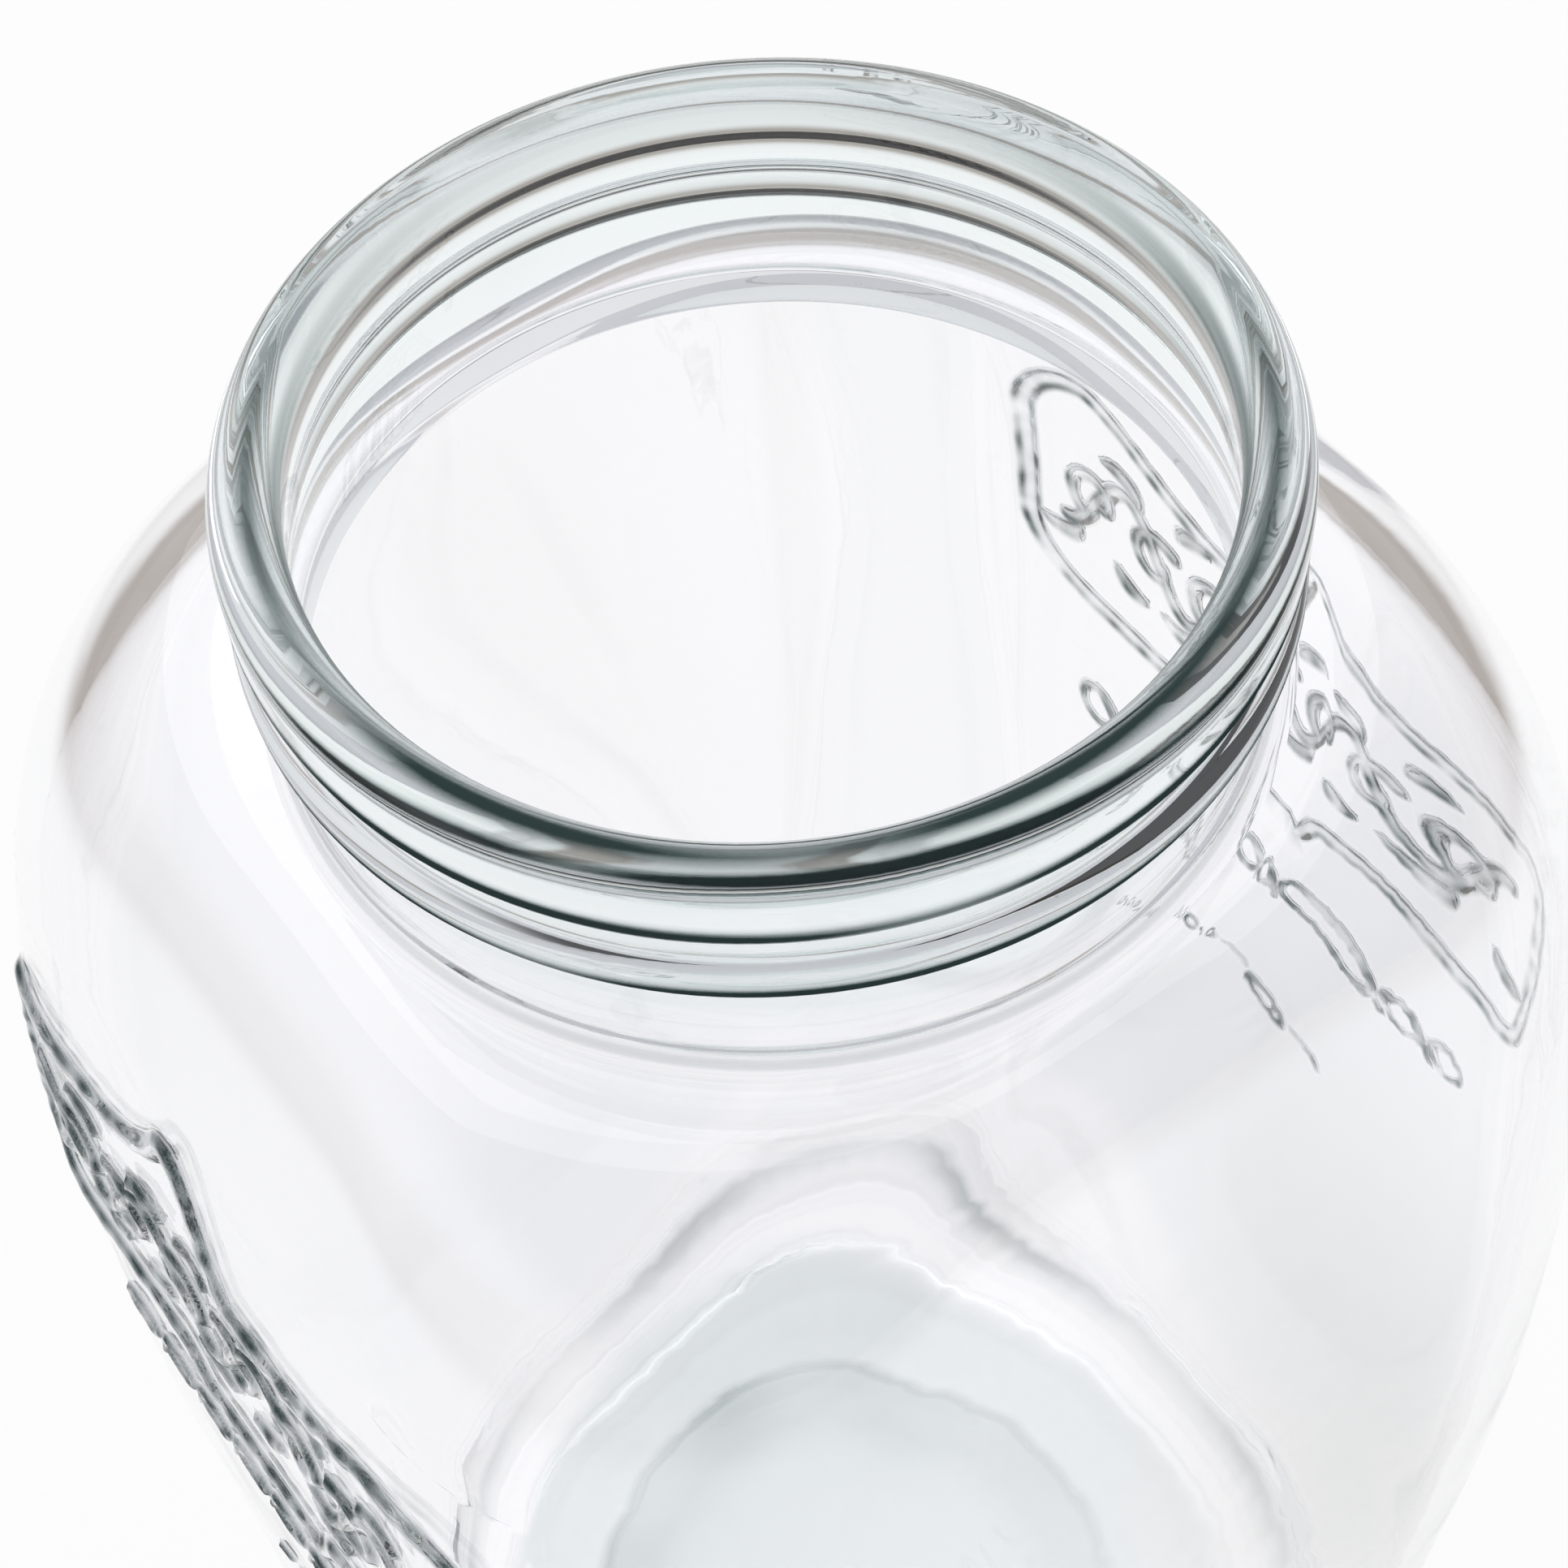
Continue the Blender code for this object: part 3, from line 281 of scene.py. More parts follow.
# How the pressed walls wander: depth, grain, and where they start and stop
WANDER_DEPTH = 0.00003
WANDER_GRAIN = 28
WANDER_TOP = 0.300
WANDER_EASE = 0.03

# The name that the jar's points carry their painted shade under, and the bands that it lies in,
# each as a middle and a half width
PAINTED_SHADE_LAYER = "painted_shade"
CREST_BAND = (MOUTH_RADIUS + 0.0033, 0.0026)
MOUTH_BAND = (MOUTH_RADIUS + 0.0003, 0.0012)
UNDER_LIP_BAND = (JAR_HEIGHT - LIP_HEIGHT + 0.0026, 0.0022)
UNDER_BEAD_BAND = (JAR_HEIGHT - BEAD_DROP - 0.0006, 0.0020)
NECK_FOOT_BAND = (SHOULDER_TOP - WALL + 0.0004, 0.0014)
INNER_HEEL_BAND = (FLOOR_THICKNESS + 0.0032, 0.0034)

# The side of the rim where the painted shade is darkest
SHADED_WAY = (0.90, -0.43)

# The ways in which the room round the floor is dark
DARK_SIDE = (0.700, 0.081, 0.710)
DARK_WALL = (-0.826, 0.532, 0.185)

# Reach of the floor, and colours of the room and the floor near the jar and far from it
FLOOR_REACH = 1.35
NEAR_ROOM = (0.97, 0.97, 0.98)
FAR_ROOM = (0.46, 0.42, 0.39)
WHITE = (1.0, 1.0, 1.0)
FAR_FLOOR = (0.39, 0.345, 0.31)

# The share of the floor that is plain white where it is seen; the rest keeps the shadow
GLOW_SHARE = 0.90

# Colours of the glass, with painted shade in its base, far wall, lip and shaded points
CLEAR_TONE = (0.99, 0.985, 1.0)
BASE_PAINTED_SHADE = (0.785, 0.825, 0.83)
FAR_WALL_PAINTED_SHADE = (0.66, 0.66, 0.65)
LIP_TINT_AND_SHADE = (0.90, 0.94, 0.94)
PAINTED_SHADE_TONE = (0.11, 0.20, 0.19)
PAINTED_SHADE_FILL = (0.035, 0.055, 0.055)
LEAK_BELOW = (0.87, 0.87, 0.885)
LEAK_IN_LIP = (0.24, 0.30, 0.295)
SHADOW_TONE = (0.86, 0.88, 0.88)
DEPTH_TONE = (0.60, 0.68, 0.68)

# The camera's right, up and back, and its place from the jar's axis
CAMERA_AXES = ((0.58901, 0.80700, -0.04270), (-0.64406, 0.50069, 0.57836),
               (0.48811, -0.31316, 0.81466))
CAMERA_PLACE = (0.20139, -0.12918, 0.61532)

# The jar's own axis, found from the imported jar, and places on the tap
jar_low, jar_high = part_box("jar")
AXIS_Y = (jar_low.y + jar_high.y) / 2
TAP_CENTRE = (0.0, AXIS_Y, TAP_HEIGHT)
BARREL_FOOT = (0.0, AXIS_Y - BARREL_AXIS, 0.0)
PIVOT = (0.0, AXIS_Y - BARREL_AXIS, PIVOT_HEIGHT)


def clamp(value, low, high):
    return min(max(value, low), high)


def smooth_step(share):
    return 0.5 - 0.5 * math.cos(math.pi * clamp(share, 0.0, 1.0))


def arc(centre, radius, start, end, steps):
    """Points on an arc in the plane of an outline, from start to end angle."""
    points = []
    for step in range(steps + 1):
        angle = start + (end - start) * step / steps
        points.append((centre[0] + radius * math.cos(angle), centre[1] + radius * math.sin(angle)))
    return points


def toward_neck(half_x, half_y, corner, neck, share):
    return (neck + (half_x - neck) * share, neck + (half_y - neck) * share,
            neck + (corner - neck) * share)


def section(height):
    """Half sizes and corner radius of the jar's outside at a height above the heel."""
    spread = smooth_step((height - STRAIGHT_WALL_TOP) / (SHOULDER_START - STRAIGHT_WALL_TOP))
    half_x = BODY_WIDTH / 2 - BODY_TAPER * (1 - spread)
    half_y = BODY_DEPTH / 2 - BODY_TAPER * (1 - spread)
    if height <= SHOULDER_START:
        blend = 1 - smooth_step(height / FOOT_BLEND_HEIGHT)
        corner = BODY_CORNER_RADIUS + (FOOT_CORNER_RADIUS - BODY_CORNER_RADIUS) * blend
        return half_x, half_y, corner
    rise = min((height - SHOULDER_START) / (SHOULDER_TOP - SHOULDER_START), 1.0)
    share = (1 - rise ** SHOULDER_POWER) ** (1 / SHOULDER_POWER)
    return toward_neck(half_x, half_y, BODY_CORNER_RADIUS, NECK_FOOT_RADIUS, share)


def wall_face(across, height):
    """How far the outside of the front or back wall stands from the jar's axis."""
    half_x, half_y, corner = section(height)
    past = abs(across) - (half_x - corner)
    if past <= 0:
        return half_y
    return half_y - corner + math.sqrt(max(corner ** 2 - past ** 2, 0.0))


def round_level(radius, height):
    return radius, radius, radius, height


def foot_level(inset, height):
    half_x, half_y, corner = section(0.0)
    return half_x - inset, half_y - inset, corner - inset, height


def levels_between(first, last, shares):
    """Levels at some shares of the way from one level to another."""
    return [tuple(a + (b - a) * share for a, b in zip(first, last)) for share in shares]


def underside_levels():
    """The foot: a pushed-up middle, a ramp, the land the jar stands on and the heel."""
    levels = [round_level(radius, UNDERSIDE_RISE) for radius in UNDERSIDE_RADII]
    levels += levels_between(round_level(UNDERSIDE_RADIUS, UNDERSIDE_RISE), foot_level(*RAMP_END),
                             (0.0, 0.35, 0.7, 1.0))
    levels += [foot_level(inset, height) for inset, height in LAND_STEPS]
    for across, up in arc((0.0, HEEL_RADIUS), HEEL_RADIUS, -RIGHT_ANGLE, 0.0, 9)[:-1]:
        levels.append(foot_level(HEEL_RADIUS - across, up))
    return levels


def wall_levels(inset, heights):
    levels = []
    for height in heights:
        half_x, half_y, corner = section(height)
        levels.append((half_x - inset, half_y - inset, corner - inset, height))
    return levels


def shoulder_levels(inset, neck, top, start_share, steps):
    """Levels of a shoulder from a share of its quarter turn up to the neck's foot."""
    levels = []
    half_x = BODY_WIDTH / 2 - inset
    half_y = BODY_DEPTH / 2 - inset
    corner = BODY_CORNER_RADIUS - inset
    for step in range(1, steps + 1):
        angle = RIGHT_ANGLE * (start_share + (1 - start_share) * step / steps)
        rise = math.sin(angle) ** (2 / SHOULDER_POWER)
        share = max(math.cos(angle), 0.0) ** (2 / SHOULDER_POWER) if step < steps else 0.0
        height = SHOULDER_START + (top - SHOULDER_START) * rise
        levels.append((*toward_neck(half_x, half_y, corner, neck, share), height))
    return levels


def neck_outline():
    """Outside of the neck from the shoulder's fillet to the lip, then over the rim and in."""
    bead_height = JAR_HEIGHT - BEAD_DROP
    lip_low = JAR_HEIGHT - LIP_HEIGHT
    top = JAR_HEIGHT - LIP_TOP_ROUND
    fillet = arc((NECK_FOOT_RADIUS, SHOULDER_TOP + NECK_FILLET), NECK_FILLET,
                 -RIGHT_ANGLE, -2 * RIGHT_ANGLE, 6)[1:]
    bead = arc((BEAD_RADIUS - BEAD_TUBE, bead_height), BEAD_TUBE, -BEAD_ARC, BEAD_ARC, 14)
    under = arc((LIP_RADIUS - LIP_UNDER_ROUND, lip_low + LIP_UNDER_ROUND), LIP_UNDER_ROUND,
                -BEAD_ARC, 0.0, 6)
    groove = []
    for step in range(1, 5):
        share = step / 5
        radius = bead[-1][0] + (under[0][0] - bead[-1][0]) * share
        groove.append((radius - GROOVE_DIP * math.sin(math.pi * share),
                       bead[-1][1] + (under[0][1] - bead[-1][1]) * share))
    over = arc((LIP_RADIUS - LIP_TOP_ROUND, top), LIP_TOP_ROUND, 0.0, RIGHT_ANGLE, 10)
    into = arc((MOUTH_RADIUS + LIP_TOP_ROUND, top), LIP_TOP_ROUND, RIGHT_ANGLE, 2 * RIGHT_ANGLE, 10)
    face = [(LIP_RADIUS, under[-1][1] + (top - under[-1][1]) * step / 6) for step in range(1, 6)]
    return fillet + bead + groove + under + face + over + into


def neck_inside():
    """Inside of the neck from the mouth down to the inner shoulder."""
    foot = SHOULDER_TOP - WALL
    points = []
    for step in range(1, 9):
        share = step / 8
        widening = smooth_step(share * NECK_INNER_EASE)
        radius = MOUTH_RADIUS + (NECK_INNER_RADIUS - MOUTH_RADIUS) * widening
        height = JAR_HEIGHT - LIP_TOP_ROUND
        points.append((radius, height + (foot + NECK_INNER_FILLET - height) * share))
    curve = arc((NECK_INNER_RADIUS + NECK_INNER_FILLET, foot + NECK_INNER_FILLET),
                NECK_INNER_FILLET, 2 * RIGHT_ANGLE, 3 * RIGHT_ANGLE, 6)
    return points + curve[1:-1]


def floor_levels():
    """Inside of the base, from the inner heel to the middle of the pushed-up dome."""
    levels = []
    for across, up in arc((0.0, INNER_HEEL_RADIUS), INNER_HEEL_RADIUS, 0.0, -RIGHT_ANGLE, 8)[1:]:
        levels.append(foot_level(WALL + INNER_HEEL_RADIUS - across, FLOOR_THICKNESS + up))
    levels += levels_between(levels[-1], round_level(DOME_RADIUS, FLOOR_THICKNESS), (0.4, 0.8, 1.0))
    for step in range(1, 7):
        share = step / 6
        levels.append(round_level(DOME_RADIUS - DOME_RAMP * share,
                                  FLOOR_THICKNESS + DOME_RISE * smooth_step(share)))
    for step in range(1, 7):
        share = step / 6
        height = FLOOR_THICKNESS + DOME_RISE + DOME_CROWN * smooth_step(share * 2)
        levels.append(round_level((DOME_RADIUS - DOME_RAMP) * (1 - share), height))
    return levels


def jar_levels():
    """Every level of the jar's skin, up the outside, over the rim and down the inside."""
    shoulder_share = math.asin(((UPPER_SHOULDER - SHOULDER_START) / (SHOULDER_TOP - SHOULDER_START))
                               ** (SHOULDER_POWER / 2)) / RIGHT_ANGLE
    inner_top = SHOULDER_TOP - WALL
    inner_neck = NECK_INNER_RADIUS + NECK_INNER_FILLET
    inner_heights = np.linspace(FLOOR_THICKNESS + INNER_HEEL_RADIUS, SHOULDER_START, 24)
    levels = underside_levels()
    for low, high, count in WALL_BANDS:
        levels += wall_levels(0.0, np.linspace(low, high, count))
    levels += shoulder_levels(0.0, NECK_FOOT_RADIUS, SHOULDER_TOP, shoulder_share, 16)
    levels += [round_level(radius, height) for radius, height in neck_outline() + neck_inside()]
    levels += reversed(shoulder_levels(WALL, inner_neck, inner_top, 0.0, 22))
    levels += reversed(wall_levels(WALL, inner_heights))
    levels += floor_levels()
    return levels


def quarter_point(half_x, half_y, corner, share):
    """A point of the first quarter of a rounded rectangle, by its share of the length."""
    side = half_y - corner
    bend = RIGHT_ANGLE * corner
    along = share * (side + bend + half_x - corner)
    if along <= side:
        return half_x, along
    if along <= side + bend:
        angle = (along - side) / corner
        return half_x - corner + corner * math.cos(angle), half_y - corner + corner * math.sin(angle)
    return half_x - corner - (along - side - bend), half_y


def ring_point(level, column):
    """The point of a level at one of the columns round the jar."""
    half_x, half_y, corner, height = level
    quarter, share = divmod(column / (COLUMNS / 4), 1.0)
    quarter = int(quarter) % 4
    if corner < MERGE:
        return Vector((0.0, 0.0, height))
    if quarter % 2:
        share = 1 - share
    x, y = quarter_point(half_x, half_y, corner, share)
    return Vector((x if quarter in (0, 3) else -x, y if quarter in (0, 1) else -y, height))


def jar_skin():
    """The jar's plain skin, outside and in, as a grid wrapped round the levels."""
    levels = jar_levels()
    rows = len(levels) - 1
    bm = bmesh.new()
    bmesh.ops.create_grid(bm, x_segments=COLUMNS, y_segments=rows, size=0.5)
    for vertex in bm.verts:
        column = round((vertex.co.x + 0.5) * COLUMNS)
        level = levels[round((vertex.co.y + 0.5) * rows)]
        vertex.co = ring_point(level, column)
    bmesh.ops.remove_doubles(bm, verts=bm.verts, dist=SKIN_MERGE)
    bmesh.ops.dissolve_degenerate(bm, edges=bm.edges, dist=SKIN_MERGE)
    bmesh.ops.recalc_face_normals(bm, faces=bm.faces)
    return bm


def plaque_low_edge(across):
    """The lower edge, with a lobe that hangs from its middle."""
    return PLAQUE_BOTTOM - LOBE_DROP * smooth_step((LOBE_HALF_WIDTH - abs(across)) / LOBE_EASE)


def plaque_high_edge(across):
    """A shelf, a peak that falls steeply, then a rising saddle."""
    if across <= PEAK_PLACE:
        return PLAQUE_TOP + PEAK_RISE * math.exp(-abs(across - PEAK_PLACE) / PEAK_WIDTH)
    past = smooth_step((across - SADDLE_START) / SADDLE_RUN)
    saddle = PLAQUE_TOP - SADDLE_DIP + SADDLE_RISE * past ** 1.5
    fall = smooth_step((across - FALL_START) / FALL_RUN)
    return (PLAQUE_TOP + PEAK_RISE) * (1 - fall) + saddle * fall


def plaque_outline():
    """The closed line of the plaque's rib, with a large round at its right side."""
    small, large = PLAQUE_LEFT_ROUND, PLAQUE_RIGHT_ROUND
    left = -PLAQUE_HALF_WIDTH + small
    right = PLAQUE_HALF_WIDTH - large
    low = plaque_low_edge(right)
    points = arc((right, low + large), large, -RIGHT_ANGLE, 0.0, 10)
    points += arc((right, plaque_high_edge(right) - large), large, 0.0, RIGHT_ANGLE, 10)
    points += [(x, plaque_high_edge(x)) for x in np.linspace(right, left, 90)[1:-1]]
    points += arc((left, plaque_high_edge(left) - small), small, RIGHT_ANGLE, 2 * RIGHT_ANGLE, 8)
    points += arc((left, low + small), small, 2 * RIGHT_ANGLE, 3 * RIGHT_ANGLE, 8)
    points += [(x, plaque_low_edge(x)) for x in np.linspace(left, right, 60)[1:-1]]
    points.append(points[0])
    return points


def spiral(centre, radius, start, turns, shrink=0.22, steps=22):
    """A curl that winds in from its outer end; turns below zero wind the other way."""
    points = []
    for step in range(steps + 1):
        share = step / steps
        reach = radius * (1 - (1 - shrink) * share)
        angle = start + turns * FULL_TURN * share
        points.append((centre[0] + reach * math.cos(angle), centre[1] + reach * math.sin(angle)))
    return points


def leaf(across, up, heading, length, bend, steps=8):
    """The middle line of a short curved leaf, from its root."""
    points = []
    for step in range(steps + 1):
        share = step / steps
        angle = heading + bend * share
        points.append((across + length * share * math.cos(angle),
                       up + length * share * math.sin(angle)))
    return points


def even(half):
    """The width of a stroke that is as wide at its ends as in its middle."""
    return lambda share: half


def curl_half(share):
    return VINE_HALF_WIDTH - CURL_TAPER * share


def leaf_half(share):
    return LEAF_END + LEAF_SWELL * math.sin(math.pi * min(share * 1.05, 1.0))


def vine_strokes():
    """A waved stem with a curl and two leaves in each of its bends."""
    wave = []
    for step in range(VINE_STEPS + 1):
        x = -VINE_REACH + 2 * VINE_REACH * step / VINE_STEPS
        wave.append((x, VINE_MIDDLE + VINE_SWING * math.sin(FULL_TURN * x / VINE_PITCH)))
    made = [(wave, even(VINE_HALF_WIDTH), VINE_HEIGHT)]
    for index in range(-3, 4):
        side = 1 if index % 2 == 0 else -1
        middle = index * VINE_PITCH / 2
        curl = spiral((middle, VINE_MIDDLE - side * CURL_DROP), CURL_RADIUS,
                      RIGHT_ANGLE * side + CURL_LEAD, -CURL_TURNS * side)
        made.append((curl, curl_half, VINE_HEIGHT))
        for across, up, heading, length, bend, height in VINE_LEAVES:
            points = leaf(middle + across, VINE_MIDDLE + side * up, side * heading, length,
                          side * bend)
            made.append((points, leaf_half, height))
    return made


def row_strokes(row, in_turn):
    """A row of rings with leaves between them, or of leaves and rings in turn."""
    made = []
    count, start, pitch, ring_middle, radius, ring_steps, shape, half, height = row
    across, up, heading, length, bend = shape
    for step in range(count):
        middle = start + pitch * step
        ring = arc((middle, ring_middle), radius, 0.0, FULL_TURN, ring_steps)
        mark = leaf(middle + across, up, heading, length, bend)
        if in_turn:
            marks = [ring if step % 2 else mark]
        else:
            marks = [ring, mark] if step < count - 1 else [ring]
        made += [(points, even(half), height) for points in marks]
    return made


def relief_at(across, height, spread=0.0):
    """Height of the raised ornament at arrays of places on a wall, spread wider if asked."""
    raised = np.zeros(len(across))
    rib = (plaque_outline(), even(RIB_HALF_WIDTH), RIB_HEIGHT)
    rows = row_strokes(UPPER_ROW, False) + row_strokes(LOWER_ROW, True)
    for points, width, top in [rib, *vine_strokes(), *rows]:
        count = len(points) - 1
        for index in range(count):
            (x0, z0), (x1, z1) = points[index], points[index + 1]
            half = width((index + 0.5) / count) + spread
            near = ((across > min(x0, x1) - half) & (across < max(x0, x1) + half)
                    & (height > min(z0, z1) - half) & (height < max(z0, z1) + half))
            if not near.any():
                continue
            dx, dz = x1 - x0, z1 - z0
            length = max(dx * dx + dz * dz, MERGE ** 2)
            share = np.clip(((across[near] - x0) * dx + (height[near] - z0) * dz) / length, 0.0, 1.0)
            away = np.hypot(across[near] - x0 - share * dx, height[near] - z0 - share * dz) / half
            slope = np.clip((away - FLAT_CREST) / (1 - FLAT_CREST), 0.0, 1.0)
            raised[near] = np.maximum(raised[near], top * (0.5 + 0.5 * np.cos(np.pi * slope)))
    return raised


def on_ornament(x, y, z):
    """True on the outer skin of the front and back walls where they carry ornament."""
    across = x if y < 0 else -x
    for left, right, low, high in ORNAMENT_PATCHES:
        if left < across < right and low < z < high:
            return abs(y) > wall_face(x, z) - WALL / 2
    return False


def divide_faces(bm, faces, cuts):
    """Divides faces of the ornament's skin and puts the new points on the walls' curve."""
    edges = {edge for face in faces for edge in face.edges}
    bmesh.ops.subdivide_edges(bm, edges=list(edges), cuts=cuts, use_grid_fill=True)
    for vertex in bm.verts:
        x, y, z = vertex.co
        if on_ornament(x, y, z):
            vertex.co.y = math.copysign(wall_face(x, z), y)


def divide_ornament(bm):
    """Divides the outer skin finely under the ornament, and finest under its strokes."""
    divide_faces(bm, [face for face in bm.faces if on_ornament(*face.calc_center_median())],
                 RELIEF_CUTS)
    near = [face for face in bm.faces if face.calc_area() < FINE_FACE]
    middles = np.array([face.calc_center_median() for face in near])
    side = np.where(middles[:, 1] < 0, -1.0, 1.0)
    raised = relief_at(-side * middles[:, 0], middles[:, 2], FINE_SPREAD)
    divide_faces(bm, [face for face, lift, middle in zip(near, raised, middles)
                      if lift > 0 and on_ornament(*middle)], 1)


def near_edge(value, middle, half):
    """One at the middle of a narrow band, falling to zero at its sides."""
    return 0.5 + 0.5 * math.cos(math.pi * min(abs(value - middle) / half, 1.0))


def ring_shade(point):
    """Painted shade on the edges of the lip, the bead and the neck's foot, streaked and darkest on one
    side of the rim.
    """
    reach = math.hypot(point.x, point.y)
    along = Vector((point.x * 30, point.y * 30, (point.z - reach) * 240))
    streak = clamp(0.9 + 1.3 * noise.noise(along), 0.25, 1.3)
    toward = (SHADED_WAY[0] * point.x + SHADED_WAY[1] * point.y) / max(reach, MERGE)
    side = smooth_step(0.75 + 0.8 * toward)
    if point.z > JAR_HEIGHT - LIP_TOP_ROUND:
        crest = (0.26 + 0.74 * side) * (0.5 + 0.5 * streak) * near_edge(reach, *CREST_BAND)
        return max(crest, (0.2 + 0.6 * side) * near_edge(reach, *MOUTH_BAND))
    if reach > NECK_RADIUS - GROOVE_DIP:
        under = max(near_edge(point.z, *UNDER_LIP_BAND), near_edge(point.z, *UNDER_BEAD_BAND))
        return (0.15 + 0.85 * side) * (0.45 + 0.55 * streak) * 1.15 * under
    if reach > MOUTH_RADIUS - WALL:
        return 0.3 * near_edge(point.z, *NECK_FOOT_BAND)
    return 0.0


def raise_ornament(bm):
    """Lifts the ornament, hammered a little, makes the pressed walls gently uneven, and stores painted
    shade on the relief, the rim's edges and the inner heel.
    """
    shade = bm.verts.layers.float.new(PAINTED_SHADE_LAYER)
    bm.normal_update()
    bm.verts.ensure_lookup_table()
    where = np.array([vertex.co for vertex in bm.verts])
    side = np.where(where[:, 1] < 0, -1.0, 1.0)
    faces = np.array([wall_face(x, z) if RELIEF_LOW < z < RELIEF_HIGH and abs(x) < RELIEF_REACH
                      else math.inf for x, _, z in where])
    outer = np.abs(where[:, 1]) > faces - WALL / 2
    raised = np.zeros(len(where))
    raised[outer] = relief_at((-side * where[:, 0])[outer], where[:, 2][outer])
    for index, vertex in enumerate(bm.verts):
        point = Vector(where[index])
        lift = raised[index]
        if lift > 0:
            hammered = noise.noise(point * HAMMER_GRAIN)
            # Painted shade on the relief, strongest on its flanks and patchy with the hammering
            rise = min(lift / RIB_HEIGHT, 1.0)
            flank = 4 * rise * (1 - rise)
            vertex[shade] = (0.30 * rise + 0.62 * flank) * clamp(0.85 + 0.9 * hammered, 0.2, 1.25)
            lift *= 0.86 + 0.16 * hammered
        elif point.z > SHOULDER_TOP - WALL:
            vertex[shade] = ring_shade(point)
        elif vertex.normal.z > 0.1 and point.z < 2 * INNER_HEEL_RADIUS:
            # Painted shade: a soft, patchy grey line round the inner heel
            patchy = 0.8 + 0.9 * noise.noise(point * 40)
            vertex[shade] = 0.34 * patchy * near_edge(point.z, *INNER_HEEL_BAND)
        wander = clamp((WANDER_TOP - point.z) / WANDER_EASE, 0.0, 1.0) * min(point.z / WANDER_EASE, 1.0)
        lift -= WANDER_DEPTH * (1 + noise.noise(point * WANDER_GRAIN)) * wander
        vertex.co = point + vertex.normal * lift


def placed(name, data):
    """A new object of the scene that holds a mesh, a curve, a lamp or a camera."""
    thing = bpy.data.objects.new(name, data)
    bpy.context.scene.collection.objects.link(thing)
    return thing


def new_piece(name, bm, sharp=40.0):
    mesh = bpy.data.meshes.new(name)
    bm.to_mesh(mesh)
    bm.free()
    mesh.shade_smooth()
    mesh.set_sharp_from_angle(angle=math.radians(sharp))
    return placed(name, mesh)


def nodes_of(name):
    material = bpy.data.materials.new(name)
    material.use_nodes = True
    tree = material.node_tree
    return material, tree, tree.nodes["Principled BSDF"], tree.nodes["Material Output"]


def feed(tree, node, inputs):
    """Gives a node's inputs plain numbers, colours as triples, or other nodes' results."""
    for name, value in inputs.items():
        socket = node.inputs[name]
        if isinstance(value, bpy.types.NodeSocket):
            tree.links.new(value, socket)
        elif socket.type == "RGBA":
            socket.default_value = (*value, 1.0)
        else:
            socket.default_value = value


def add_node(tree, kind, inputs=None, **settings):
    """A new node with its settings and its inputs."""
    node = tree.nodes.new("ShaderNode" + kind)
    for name, value in settings.items():
        setattr(node, name, value)
    feed(tree, node, inputs or {})
    return node


def fade(tree, value, start, end, first, last, way="SMOOTHSTEP"):
    """Runs a value from one level to another between two of its readings."""
    ramp = add_node(tree, "MapRange", {"Value": value, "From Min": start, "From Max": end,
                                       "To Min": first, "To Max": last}, interpolation_type=way)
    return ramp.outputs["Result"]


def combine(tree, operation, first, second):
    return add_node(tree, "Math", {0: first, 1: second}, operation=operation).outputs["Value"]


def mix_colour(tree, factor, first, second):
    """Mixes two colours, each a plain triple or another node's result."""
    mix = add_node(tree, "Mix", {"Factor": factor, "A": first, "B": second}, data_type="RGBA")
    return mix.outputs["Result"]


def mix_shader(tree, factor, first, second):
    return add_node(tree, "MixShader", {"Fac": factor, 1: first, 2: second}).outputs["Shader"]


def cloud(tree, place, scale, detail):
    """Cloudy unevenness over a surface."""
    inputs = {"Vector": place, "Scale": scale, "Detail": detail}
    return add_node(tree, "TexNoise", inputs).outputs["Fac"]


def relief(tree, height, strength, distance):
    """A finely uneven skin, too shallow for the mesh."""
    inputs = {"Height": height, "Strength": strength, "Distance": distance}
    return add_node(tree, "Bump", inputs).outputs["Normal"]


def glass_tone(tree, place, height, lip, shade):
    """Tint of the glass: painted shade greys its base and far wall, its lip is greener by its own tint
    and darker by painted shade, and painted shade darkens the shaded points.
    """
    from_axis = add_node(tree, "VectorMath", {0: place, 1: (1.0, 1.0, 0.0), 2: (0.0, -AXIS_Y, 0.0)},
                         operation="MULTIPLY_ADD").outputs["Vector"]
    reach = add_node(tree, "VectorMath", {0: from_axis}, operation="LENGTH").outputs["Value"]
    axes = add_node(tree, "SeparateXYZ", {"Vector": from_axis})
    # Painted shade: the base's glass is greyed where the floor's shadow lies under it
    base = combine(tree, "MULTIPLY", fade(tree, height, 0.016, 0.026, 1.0, 0.0),
                   fade(tree, reach, 0.067, 0.073, 1.0, 0.0))
    # Painted shade: the lower far wall is greyed towards its right
    far_wall_shade = combine(tree, "MULTIPLY", fade(tree, axes.outputs["Y"], 0.030, 0.088, 0.0, 1.0),
                       fade(tree, height, 0.07, 0.19, 1.0, 0.0))
    far_wall_shade = combine(tree, "MULTIPLY", far_wall_shade,
                       fade(tree, axes.outputs["X"], -0.035, 0.07, 0.0, 1.0))
    tone = mix_colour(tree, base, CLEAR_TONE, BASE_PAINTED_SHADE)
    tone = mix_colour(tree, far_wall_shade, tone, FAR_WALL_PAINTED_SHADE)
    # The lip is greener by the glass's own tint and a little darker by painted shade
    tone = mix_colour(tree, lip, tone, LIP_TINT_AND_SHADE)
    return mix_colour(tree, shade, tone, PAINTED_SHADE_TONE)


